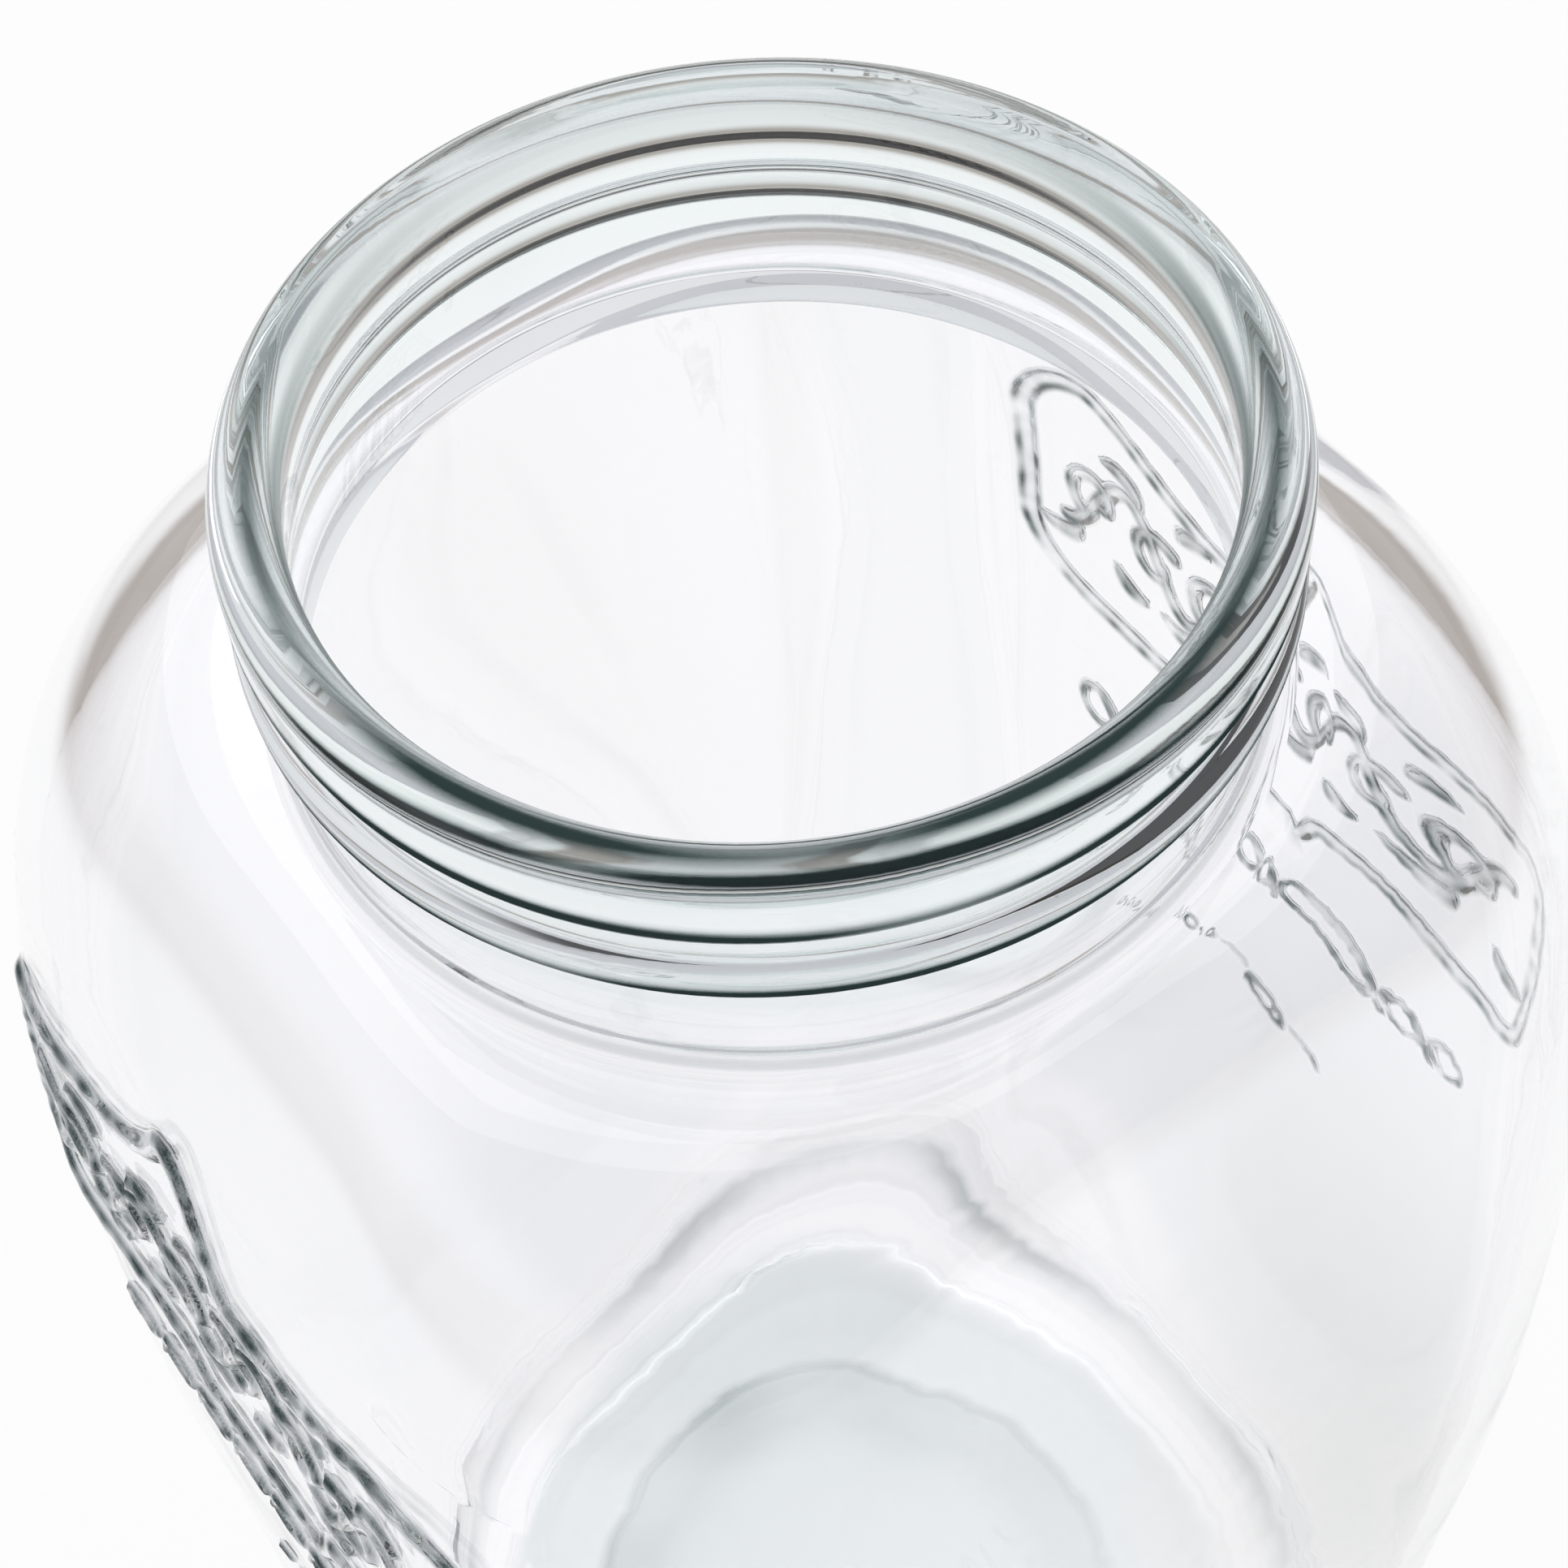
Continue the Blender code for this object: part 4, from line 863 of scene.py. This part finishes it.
def pressed_glass():
    """Clear soda glass: faint sea-green depth, a rippled skin, painted shade on its shaded points, and
    open to the lamps.
    """
    material, tree, shader, output = nodes_of("pressed_glass")
    path = add_node(tree, "LightPath")
    place = add_node(tree, "TexCoord").outputs["Object"]
    height = add_node(tree, "SeparateXYZ", {"Vector": place}).outputs["Z"]
    lip = fade(tree, height, SHOULDER_TOP + 0.002, SHOULDER_TOP + 0.012, 0.0, 1.0)
    shade = add_node(tree, "Attribute", attribute_name=PAINTED_SHADE_LAYER).outputs["Fac"]
    wear = cloud(tree, place, 18.0, 6.0)
    feed(tree, shader, {"Transmission Weight": 1.0,
                        "IOR": 1.51,
                        "Base Color": glass_tone(tree, place, height, lip, shade),
                        "Roughness": fade(tree, wear, 0.45, 0.75, 0.0, 0.035, "LINEAR"),
                        "Normal": relief(tree, cloud(tree, place, 55.0, 1.0), 0.12, 0.0004)})
    # Painted shade: a dark matt fill mixed in by the square of the painted shade, so shaded lines stay
    # dark
    edge = add_node(tree, "BsdfDiffuse", {"Color": PAINTED_SHADE_FILL})
    with_painted_shade = mix_shader(tree, combine(tree, "MULTIPLY", shade, shade), shader.outputs["BSDF"],
                       edge.outputs["BSDF"])
    # Rays that bounce on inside the glass leave it here, so that no part of it turns black; in the lip
    # they leave darkened, as painted shade
    leak = add_node(tree, "BsdfTransparent", {"Color": mix_colour(tree, lip, LEAK_BELOW, LEAK_IN_LIP)})
    lost = combine(tree, "GREATER_THAN", path.outputs["Glossy Depth"], 3.5)
    trapped = mix_shader(tree, lost, with_painted_shade, leak.outputs["BSDF"])
    clear = add_node(tree, "BsdfTransparent", {"Color": SHADOW_TONE})
    surface = mix_shader(tree, path.outputs["Is Shadow Ray"], trapped, clear.outputs["BSDF"])
    depth = add_node(tree, "VolumeAbsorption", {"Color": DEPTH_TONE, "Density": 5.0})
    feed(tree, output, {"Surface": surface, "Volume": depth.outputs["Volume"]})
    return material


def make_jar():
    bm = jar_skin()
    divide_ornament(bm)
    raise_ornament(bm)
    bmesh.ops.translate(bm, verts=bm.verts, vec=(0.0, AXIS_Y, 0.0))
    jar = new_piece("pressed_glass_jar", bm, 60.0)
    hole_centre = (0.0, AXIS_Y - FRONT_WALL + WALL / 2, TAP_HEIGHT)
    carve(jar, turned(plug(HOLE_RADIUS, -2 * WALL, 2 * WALL), "Y", hole_centre, 64), sharp=60.0)
    jar.data.materials.clear()
    jar.data.materials.append(pressed_glass())
    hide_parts("jar")
    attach(jar, "jar_and_tap")


def rounded(corners, radius, closed=False):
    """The corners of an outline eased by small curves; an open one keeps its two ends."""
    count = len(corners)
    points = []
    for index, (x, y) in enumerate(corners):
        if not closed and index in (0, count - 1):
            points.append((x, y))
            continue
        corner = Vector((x, y))
        before = Vector(corners[index - 1]) - corner
        after = Vector(corners[(index + 1) % count]) - corner
        reach = min(radius, before.length * 0.45, after.length * 0.45)
        start = corner + before.normalized() * reach
        end = corner + after.normalized() * reach
        for step in range(EASE_STEPS + 1):
            share = step / EASE_STEPS
            points.append(tuple(start * (1 - share) ** 2 + corner * 2 * share * (1 - share)
                                + end * share ** 2))
    return points


def plug(radius, low, high):
    """Outline of a plain round body between two places on its axis."""
    return [(0.0, low), (radius, low), (radius, high), (0.0, high)]


def settled(bm, centre):
    """A finished body with its normals outward, moved to its centre."""
    bmesh.ops.recalc_face_normals(bm, faces=bm.faces)
    bmesh.ops.translate(bm, verts=bm.verts, vec=centre)
    return bm


def turned(outline, axis, centre, steps=ROUND_STEPS, closed=False):
    """A closed body turned from (reach, along) points about an axis through the centre."""
    bm = bmesh.new()
    place = {"X": lambda reach, along: (along, 0.0, reach),
             "Y": lambda reach, along: (0.0, along, reach),
             "Z": lambda reach, along: (reach, 0.0, along)}[axis]
    verts = [bm.verts.new(place(reach, along)) for reach, along in outline]
    edges = [bm.edges.new(pair) for pair in zip(verts, verts[1:])]
    if closed:
        edges.append(bm.edges.new((verts[-1], verts[0])))
    way = [float(axis == name) for name in "XYZ"]
    bmesh.ops.spin(bm, geom=verts + edges, cent=(0.0, 0.0, 0.0), axis=way, angle=FULL_TURN,
                   steps=steps, use_merge=True)
    bmesh.ops.remove_doubles(bm, verts=bm.verts, dist=MERGE)
    bmesh.ops.dissolve_degenerate(bm, edges=bm.edges, dist=MERGE)
    return settled(bm, centre)


def slab(outline, half_width, centre, edge_round=0.0):
    """An outline of (y, z) points given width along X, its rims rounded."""
    bm = bmesh.new()
    face = bm.faces.new([bm.verts.new((-half_width, y, z)) for y, z in outline])
    extruded = bmesh.ops.extrude_face_region(bm, geom=[face])
    raised = [part for part in extruded["geom"] if isinstance(part, bmesh.types.BMVert)]
    bmesh.ops.translate(bm, verts=raised, vec=(2 * half_width, 0.0, 0.0))
    bmesh.ops.recalc_face_normals(bm, faces=bm.faces)
    if edge_round:
        rims = [edge for edge in bm.edges if abs(edge.verts[0].co.x - edge.verts[1].co.x) < MERGE]
        bmesh.ops.bevel(bm, geom=rims, offset=edge_round, offset_type="OFFSET", segments=4,
                        profile=0.5, affect="EDGES", material=-1)
    bmesh.ops.translate(bm, verts=bm.verts, vec=centre)
    return bm


def carve(piece, bm, operation="DIFFERENCE", sharp=35.0):
    """Adds or takes away another body, and keeps the result as the piece's mesh."""
    cutter = new_piece("cutter", bm)
    cut = piece.modifiers.new("cut", "BOOLEAN")
    cut.operation = operation
    cut.solver = "MANIFOLD"
    cut.object = cutter
    depsgraph = bpy.context.evaluated_depsgraph_get()
    mesh = bpy.data.meshes.new_from_object(piece.evaluated_get(depsgraph))
    piece.modifiers.clear()
    piece.data = mesh
    mesh.set_sharp_from_angle(angle=math.radians(sharp))
    bpy.data.objects.remove(cutter, do_unlink=True)


def grained(name, colour, roughness, grain, depth, metallic=0.0, stretch=(1.0, 1.0, 1.0)):
    """A moulded or drawn surface: slight shade changes, uneven gloss and a fine grain."""
    material, tree, shader, _ = nodes_of(name)
    place = add_node(tree, "VectorMath", {0: add_node(tree, "TexCoord").outputs["Object"],
                                          1: stretch}, operation="MULTIPLY").outputs["Vector"]
    patches = cloud(tree, place, 90.0, 5.0)
    darker = tuple(channel * 0.88 for channel in colour)
    feed(tree, shader, {
        "Base Color": mix_colour(tree, fade(tree, patches, 0.35, 0.7, 0.0, 1.0), colour, darker),
        "Roughness": fade(tree, patches, 0.3, 0.7, roughness * 0.8, roughness * 1.25),
        "Normal": relief(tree, cloud(tree, place, grain, 3.0), 0.5, depth),
        "Metallic": metallic})
    return material


def silicone():
    """Milky, slightly see-through rubber with a dull, dusty skin."""
    material = grained("milky_silicone", (0.80, 0.82, 0.82), 0.5, grain=900.0, depth=0.00003)
    feed(material.node_tree, material.node_tree.nodes["Principled BSDF"],
         {"Transmission Weight": 0.35, "IOR": 1.41})
    return material


def fit(piece, material, body, *nodes):
    """Gives a piece its finish and its place on a body, and hides the nodes it stands for."""
    piece.data.materials.clear()
    piece.data.materials.append(material)
    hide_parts(*nodes)
    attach(piece, body)


def make_tap_body(plastic):
    """Flange, threaded shank and arm, with the upright barrel, its chamber and its nozzle."""
    arm_end = CHAMBER_RADIUS / 2 - BARREL_AXIS
    outline = rounded([(0.0, arm_end), (ARM_RADIUS, arm_end), (ARM_RADIUS, -FLANGE_FRONT),
                       (FLANGE_RADIUS, -FLANGE_FRONT), (FLANGE_RADIUS, -FLANGE_BACK),
                       (SHANK_ROOT_RADIUS, -FLANGE_BACK), (SHANK_ROOT_RADIUS, -SHANK_END),
                       (0.0, -SHANK_END)], BODY_EASE)
    body = new_piece("tap_body_moulding", turned(outline, "Y", TAP_CENTRE))
    carve(body, shank_thread(), "UNION")
    low = TAP_HEIGHT - BARREL_DROP
    tip = TAP_HEIGHT - OUTLET_DROP
    barrel = [(0.0, BARREL_TOP), (BARREL_RADIUS, BARREL_TOP), (BARREL_RADIUS, low),
              (NOZZLE_TOP_RADIUS, low - NOZZLE_STEP_HEIGHT), (NOZZLE_TIP_RADIUS, tip), (0.0, tip)]
    carve(body, turned(rounded(barrel, BARREL_EASE), "Z", BARREL_FOOT), "UNION")
    chamber = [(0.0, BARREL_TOP + OVERRUN), (CHAMBER_RADIUS, BARREL_TOP + OVERRUN),
               (CHAMBER_RADIUS, SEAT_HEIGHT), (OUTLET_RADIUS, SEAT_HEIGHT),
               (OUTLET_RADIUS, tip - OVERRUN), (0.0, tip - OVERRUN)]
    carve(body, turned(chamber, "Z", BARREL_FOOT))
    bore = plug(FLOW_BORE_RADIUS, CHAMBER_RADIUS / 3 - BARREL_AXIS, OVERRUN - SHANK_END)
    carve(body, turned(bore, "Y", TAP_CENTRE, 64))
    fit(body, plastic, "jar_and_tap", "tap_body")


def shank_thread():
    """A ridge that winds along the shank, flat-topped with sloping flanks."""
    start = SHANK_END + THREAD_PITCH * 0.6
    turns = (FLANGE_BACK - SHANK_END) / THREAD_PITCH - 1.2
    root = SHANK_ROOT_RADIUS - THREAD_SINK
    bm = bmesh.new()
    corners = [(root, -THREAD_FOOT), (SHANK_RADIUS, -THREAD_CREST), (SHANK_RADIUS, THREAD_CREST),
               (root, THREAD_FOOT)]
    verts = [bm.verts.new((0.0, along - start, reach)) for reach, along in corners]
    face = bm.faces.new(verts)
    bmesh.ops.spin(bm, geom=[face, *face.edges, *verts], cent=(0.0, 0.0, 0.0),
                   axis=(0.0, 1.0, 0.0), dvec=(0.0, -THREAD_PITCH / THREAD_STEPS, 0.0),
                   angle=FULL_TURN * turns, steps=round(THREAD_STEPS * turns), use_merge=False)
    return settled(bm, TAP_CENTRE)


def make_wall_rings(rubber, plastic):
    """The gaskets on both sides of the glass and the washer under the nut."""
    inner = SHANK_RADIUS + BORE_GAP
    outer_face = FRONT_WALL + SEAT_GAP + GASKET_THICKNESS
    inner_face = FRONT_WALL - WALL - SEAT_GAP
    washer_face = inner_face - GASKET_THICKNESS - SEAT_GAP
    rings = (("outer_gasket", OUTER_GASKET_RADIUS, outer_face, GASKET_THICKNESS, rubber),
             ("inner_gasket", INNER_GASKET_RADIUS, inner_face, GASKET_THICKNESS, rubber),
             ("clamp_washer", WASHER_RADIUS, washer_face, WASHER_THICKNESS, plastic))
    for name, radius, face, thickness, material in rings:
        outline = rounded([(inner, -face), (radius, -face), (radius, thickness - face),
                           (inner, thickness - face)], SMALL_EASE, closed=True)
        ring = new_piece(name + "_ring", turned(outline, "Y", TAP_CENTRE, closed=True))
        fit(ring, material, "jar_and_tap", name)


def make_lock_nut(plastic):
    """Hexagonal nut with softened corners and a round collar."""
    face = -NUT_FACE
    hex_end = face + NUT_THICKNESS - NUT_COLLAR_HEIGHT
    collar_end = face + NUT_THICKNESS
    nut = new_piece("lock_nut_moulding",
                    turned(plug(NUT_CORNER_RADIUS, face, hex_end), "Y", TAP_CENTRE, 6))
    low, high = face + NUT_SKIM, hex_end - NUT_SKIM
    full, tapered = NUT_CORNER_RADIUS - NUT_TRIM, NUT_CORNER_RADIUS - NUT_CHAMFER_REACH
    outline = [(0.0, low), (tapered, low), (full, face + NUT_CHAMFER_HEIGHT),
               (full, hex_end - NUT_CHAMFER_HEIGHT), (tapered, high), (0.0, high)]
    carve(nut, turned(rounded(outline, FINE_EASE), "Y", TAP_CENTRE), "INTERSECT")
    collar = plug(NUT_COLLAR_RADIUS, hex_end - NUT_COLLAR_HEIGHT, collar_end)
    carve(nut, turned(rounded(collar, FINE_EASE), "Y", TAP_CENTRE), "UNION")
    bore = plug(SHANK_RADIUS + SEAT_GAP, face - OVERRUN, collar_end + OVERRUN)
    carve(nut, turned(bore, "Y", TAP_CENTRE))
    fit(nut, plastic, "jar_and_tap", "lock_nut")


def make_bonnet(plastic):
    """Screw cap of the barrel with a scalloped grip and a flat top for the cam."""
    inner = BARREL_RADIUS + SEAT_GAP
    hole = STEM_RADIUS + SEAT_GAP
    skirt = BARREL_TOP - BONNET_SKIRT
    outline = [(hole, BONNET_UNDERSIDE), (inner, BONNET_UNDERSIDE), (inner, skirt),
               (BONNET_RADIUS, skirt), (BONNET_RADIUS, BONNET_TOP - BONNET_CHAMFER),
               (BONNET_RADIUS - BONNET_CHAMFER, BONNET_TOP), (hole, BONNET_TOP)]
    bm = turned(rounded(outline, FINE_EASE, closed=True), "Z", (0.0, 0.0, 0.0), GRIP_RIBS * 8,
                closed=True)
    for vertex in bm.verts:
        reach = math.hypot(vertex.co.x, vertex.co.y)
        if reach > BONNET_RADIUS - GRIP_RIND:
            wave = 0.5 - 0.5 * math.cos(GRIP_RIBS * math.atan2(vertex.co.y, vertex.co.x))
            scale = 1 - GRIP_DEPTH * wave / reach
            vertex.co.x *= scale
            vertex.co.y *= scale
    bmesh.ops.translate(bm, verts=bm.verts, vec=BARREL_FOOT)
    fit(new_piece("bonnet_cap", bm), plastic, "jar_and_tap", "bonnet")


def make_valve(plastic, rubber, steel):
    """Seal, stem with its flat eye, and the coil spring round the stem between the seal and the bonnet.
    """
    socket = STEM_RADIUS + SEAT_GAP
    socket_end = SEAL_TOP - SEAL_SOCKET_DEPTH
    outline = rounded([(0.0, SEAL_BOTTOM), (SEAL_RADIUS - SEAL_CHAMFER, SEAL_BOTTOM),
                       (SEAL_RADIUS, SEAL_BOTTOM + SEAL_CHAMFER), (SEAL_RADIUS, SEAL_TOP),
                       (socket, SEAL_TOP), (socket, socket_end), (0.0, socket_end)], SMALL_EASE)
    seal = new_piece("seal_cup_moulding", turned(outline, "Z", BARREL_FOOT, 64))
    fit(seal, rubber, "valve", "seal_cup")
    rod = rounded(plug(STEM_RADIUS, socket_end + SEAT_GAP, PIVOT_HEIGHT), FINE_EASE)
    stem = new_piece("valve_rod", turned(rod, "Z", BARREL_FOOT, 48))
    half = STEM_RADIUS - SEAT_GAP / 2
    eye = rounded(plug(STEM_EYE_RADIUS, -half, half), SMALL_EASE)
    carve(stem, turned(eye, "X", PIVOT, 64), "UNION")
    carve(stem, turned(plug(PIN_RADIUS + PIN_GAP, -OVERRUN, OVERRUN), "X", PIVOT, 32))
    fit(stem, plastic, "valve", "valve_stem")
    spring = spring_wire()
    fit(spring, steel, "jar_and_tap", "return_spring")
    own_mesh(spring)


def spring_wire():
    """Coil spring with a closed turn at each end, swept as one round wire."""
    low = SEAL_TOP + SEAT_GAP + SPRING_WIRE_RADIUS
    high = BONNET_UNDERSIDE - SEAT_GAP - SPRING_WIRE_RADIUS
    turns = SPRING_TURNS + 2
    count = turns * SPRING_STEPS
    curve = bpy.data.curves.new("spring_wire", "CURVE")
    curve.dimensions = "3D"
    curve.bevel_depth = SPRING_WIRE_RADIUS
    curve.bevel_resolution = 3
    curve.use_fill_caps = True
    spline = curve.splines.new("POLY")
    spline.points.add(count)
    for step, place in enumerate(spline.points):
        turn = turns * step / count
        middle = clamp(turn - 1, 0.0, SPRING_TURNS) / SPRING_TURNS
        ends = (min(turn, 1.0) + max(turn - turns + 1, 0.0)) * CLOSED_TURN_RISE
        height = low + ends + (high - low - 2 * CLOSED_TURN_RISE) * middle
        angle = FULL_TURN * turn
        place.co = (SPRING_RADIUS * math.cos(angle),
                    BARREL_FOOT[1] + SPRING_RADIUS * math.sin(angle), height, 1.0)
    guide = placed("spring_guide", curve)
    mesh = bpy.data.meshes.new_from_object(guide)
    bpy.data.objects.remove(guide, do_unlink=True)
    mesh.shade_smooth()
    return placed("spring_coil", mesh)


def cam_outline():
    """Side outline of the hub, whose heel's reach grows evenly with the tilt."""
    rise = CAM_RISE_PER_RADIAN
    points = [(CAM_BACK, -CAM_BASE)]
    for step in range(CAM_STEPS + 1):
        tilt = (LEVER_TRAVEL + CAM_OVERTRAVEL) * step / CAM_STEPS
        reach = CAM_BASE + rise * tilt
        points.append((-reach * math.sin(tilt) - rise * math.cos(tilt),
                       -reach * math.cos(tilt) + rise * math.sin(tilt)))
    nose_y, nose_z = points[-1]
    shoulder = STEM_EYE_RADIUS + ROOT_GAP
    points += [(nose_y, nose_z + CAM_BASE / 3), (nose_y + CAM_BASE / 4, shoulder),
               (-HANDLE_ROOT_DEPTH / 2, HUB_TOP), (HANDLE_ROOT_DEPTH / 2, HUB_TOP),
               (CAM_BACK, shoulder)]
    return points


def blade_middle(along):
    """Where the blade's middle lies, front to back and up, at a share of its length."""
    low = STEM_EYE_RADIUS + 2 * ROOT_GAP
    top = HANDLE_LENGTH - HANDLE_TIP_DEPTH / 2
    return -HANDLE_LEAN * along ** 2, low + (top - low) * along


def blade_half(along):
    return (HANDLE_ROOT_DEPTH + (HANDLE_TIP_DEPTH - HANDLE_ROOT_DEPTH) * along) / 2


def blade_outline():
    """Side outline of the finger lever: a slim blade that leans forward to a round tip."""
    front, back = [], []
    for step in range(HANDLE_STEPS + 1):
        along = step / HANDLE_STEPS
        middle, height = blade_middle(along)
        front.append((middle - blade_half(along), height))
        back.append((middle + blade_half(along), height))
    tip = arc(blade_middle(1.0), HANDLE_TIP_DEPTH / 2, 2 * RIGHT_ANGLE, 0.0, 12)[1:-1]
    return front + tip + back[::-1]


def make_lever(plastic, steel):
    """Cam hub, slotted for the stem, a finger blade with grooves, and the riveted pin."""
    lever = new_piece("finger_lever", slab(blade_outline(), HANDLE_WIDTH / 2, PIVOT, BLADE_EASE))
    carve(lever, slab(cam_outline(), CHEEK_OUTER, PIVOT), "UNION")
    slot_low = -CAM_BASE - LEVER_TRAVEL * CAM_RISE_PER_RADIAN - OVERRUN
    slot_end = CAM_BASE * 2 + OVERRUN
    slot_top = STEM_EYE_RADIUS + ROOT_GAP
    carve(lever, slab([(-slot_end, slot_low), (slot_end, slot_low), (slot_end, slot_top),
                       (-slot_end, slot_top)], CHEEK_INNER, PIVOT))
    reach = CHEEK_OUTER + OVERRUN
    carve(lever, turned(plug(PIN_RADIUS + PIN_GAP, -reach, reach), "X", PIVOT, 32))
    width = HANDLE_WIDTH / 2 - GROOVE_END_GAP
    groove = rounded(plug(GROOVE_RADIUS, -width, width), SMALL_EASE)
    for index in range(GROOVES):
        along = GROOVE_START - GROOVE_STEP * index
        middle, height = blade_middle(along)
        front = middle - blade_half(along) - GROOVE_SET_OUT
        carve(lever, turned(groove, "X", Vector(PIVOT) + Vector((0.0, front, height)), 24))
    fit(lever, plastic, "tap_lever", "lever")
    face = CHEEK_OUTER + SEAT_GAP
    end = face + PIN_HEAD_THICKNESS
    pin = rounded([(0.0, -end), (PIN_HEAD_RADIUS, -end), (PIN_HEAD_RADIUS, -face),
                   (PIN_RADIUS, -face), (PIN_RADIUS, face), (PIN_HEAD_RADIUS, face),
                   (PIN_HEAD_RADIUS, end), (0.0, end)], SMALL_EASE)
    fit(new_piece("riveted_pin", turned(pin, "X", PIVOT, 48)), steel, "tap_lever", "hinge_pin")


def make_tap():
    plastic = grained("pearly_plastic", (0.88, 0.89, 0.90), 0.24, grain=1400.0, depth=0.00003)
    nut_plastic = grained("white_plastic", (0.91, 0.91, 0.90), 0.40, grain=1100.0, depth=0.00004)
    rubber = silicone()
    steel = grained("drawn_steel", (0.66, 0.67, 0.68), 0.25, grain=2600.0, depth=0.00001,
                    metallic=1.0, stretch=(1.0, 1.0, 0.15))
    make_tap_body(plastic)
    make_wall_rings(rubber, nut_plastic)
    make_lock_nut(nut_plastic)
    make_bonnet(plastic)
    make_valve(nut_plastic, rubber, steel)
    make_lever(plastic, steel)


def make_camera():
    """The photograph's viewpoint, above the mouth and to the right of the front."""
    data = bpy.data.cameras.new("camera")
    data.lens = 76.8224
    data.sensor_width = 36.0
    data.clip_start = 0.01
    camera = placed("camera", data)
    turn = Matrix(CAMERA_AXES).transposed().to_4x4()
    place = Vector(CAMERA_PLACE) + Vector((0.0, AXIS_Y, 0.0))
    camera.matrix_world = Matrix.Translation(place) @ turn
    bpy.context.scene.camera = camera


def seen_directly(tree):
    """One for rays from the camera, off gloss and through glass, and zero for the others."""
    path = add_node(tree, "LightPath")
    total = path.outputs["Is Camera Ray"]
    for kind in ("Is Glossy Ray", "Is Transmission Ray"):
        total = combine(tree, "MAXIMUM", total, path.outputs[kind])
    return total


def make_floor():
    """A pale floor, white round the jar and dimmer far from it, that keeps the shadow."""
    bm = bmesh.new()
    bmesh.ops.create_circle(bm, cap_ends=True, segments=128, radius=FLOOR_REACH)
    floor = new_piece("studio_floor", bm)
    material, tree, shader, output = nodes_of("studio_floor")
    feed(tree, shader, {"Base Color": (0.93, 0.93, 0.93), "Roughness": 0.9,
                        "Specular IOR Level": 0.0})
    away = add_node(tree, "VectorMath", {0: add_node(tree, "TexCoord").outputs["Object"]},
                    operation="LENGTH").outputs["Value"]
    far = fade(tree, away, 0.60, 1.05, 0.0, 1.0)
    colour = mix_colour(tree, far, WHITE, FAR_FLOOR)
    glow = add_node(tree, "Emission", {"Strength": 1.0, "Color": colour})
    share = combine(tree, "MULTIPLY", seen_directly(tree), GLOW_SHARE)
    surface = mix_shader(tree, share, shader.outputs["BSDF"], glow.outputs["Emission"])
    feed(tree, output, {"Surface": surface})
    floor.data.materials.append(material)


def facing(tree, direction, dark, start, end, least):
    """One over most of the room, falling to a small share towards a dark part of it."""
    toward = add_node(tree, "VectorMath", {0: direction, 1: dark}, operation="DOT_PRODUCT")
    return fade(tree, toward.outputs["Value"], start, end, 1.0, least)


def make_world():
    """Pale walls that dim towards the horizon, and two dark parts seen only in the glass."""
    world = bpy.data.worlds.new("studio")
    world.use_nodes = True
    tree = world.node_tree
    direction = add_node(tree, "TexCoord").outputs["Generated"]
    height = add_node(tree, "SeparateXYZ", {"Vector": direction}).outputs["Z"]
    colour = mix_colour(tree, fade(tree, height, 0.0, 0.35, 0.0, 1.0), FAR_ROOM, NEAR_ROOM)
    lit = combine(tree, "MULTIPLY", facing(tree, direction, DARK_SIDE, 0.15, 0.50, 0.12),
                  facing(tree, direction, DARK_WALL, 0.80, 0.93, 0.05))
    path = add_node(tree, "LightPath")
    past_jar = fade(tree, path.outputs["Transmission Depth"], 2.5, 3.5, 0.0, 1.0)
    lit = combine(tree, "MAXIMUM", lit, path.outputs["Is Camera Ray"])
    lit = combine(tree, "MAXIMUM", lit, past_jar)
    around = add_node(tree, "Background", {"Color": colour, "Strength": lit})
    soft = add_node(tree, "Background", {"Color": WHITE, "Strength": 0.6})
    surface = mix_shader(tree, seen_directly(tree), soft.outputs["Background"],
                         around.outputs["Background"])
    feed(tree, tree.nodes["World Output"], {"Surface": surface})
    bpy.context.scene.world = world


def make_lamp(name, place, aim, size, power):
    data = bpy.data.lights.new(name, "AREA")
    data.shape = "SQUARE"
    data.size = size
    data.energy = power
    lamp = placed(name, data)
    lamp.location = place
    lamp.rotation_euler = (Vector(aim) - Vector(place)).to_track_quat("-Z", "Y").to_euler()


make_camera()
make_world()
make_floor()
make_lamp("key_lamp", place=(-1.3, 0.7, 2.6), aim=(0.0, 0.0, 0.15), size=3.4, power=36.0)
make_jar()
make_tap()

bpy.context.scene.view_settings.view_transform = "Standard"
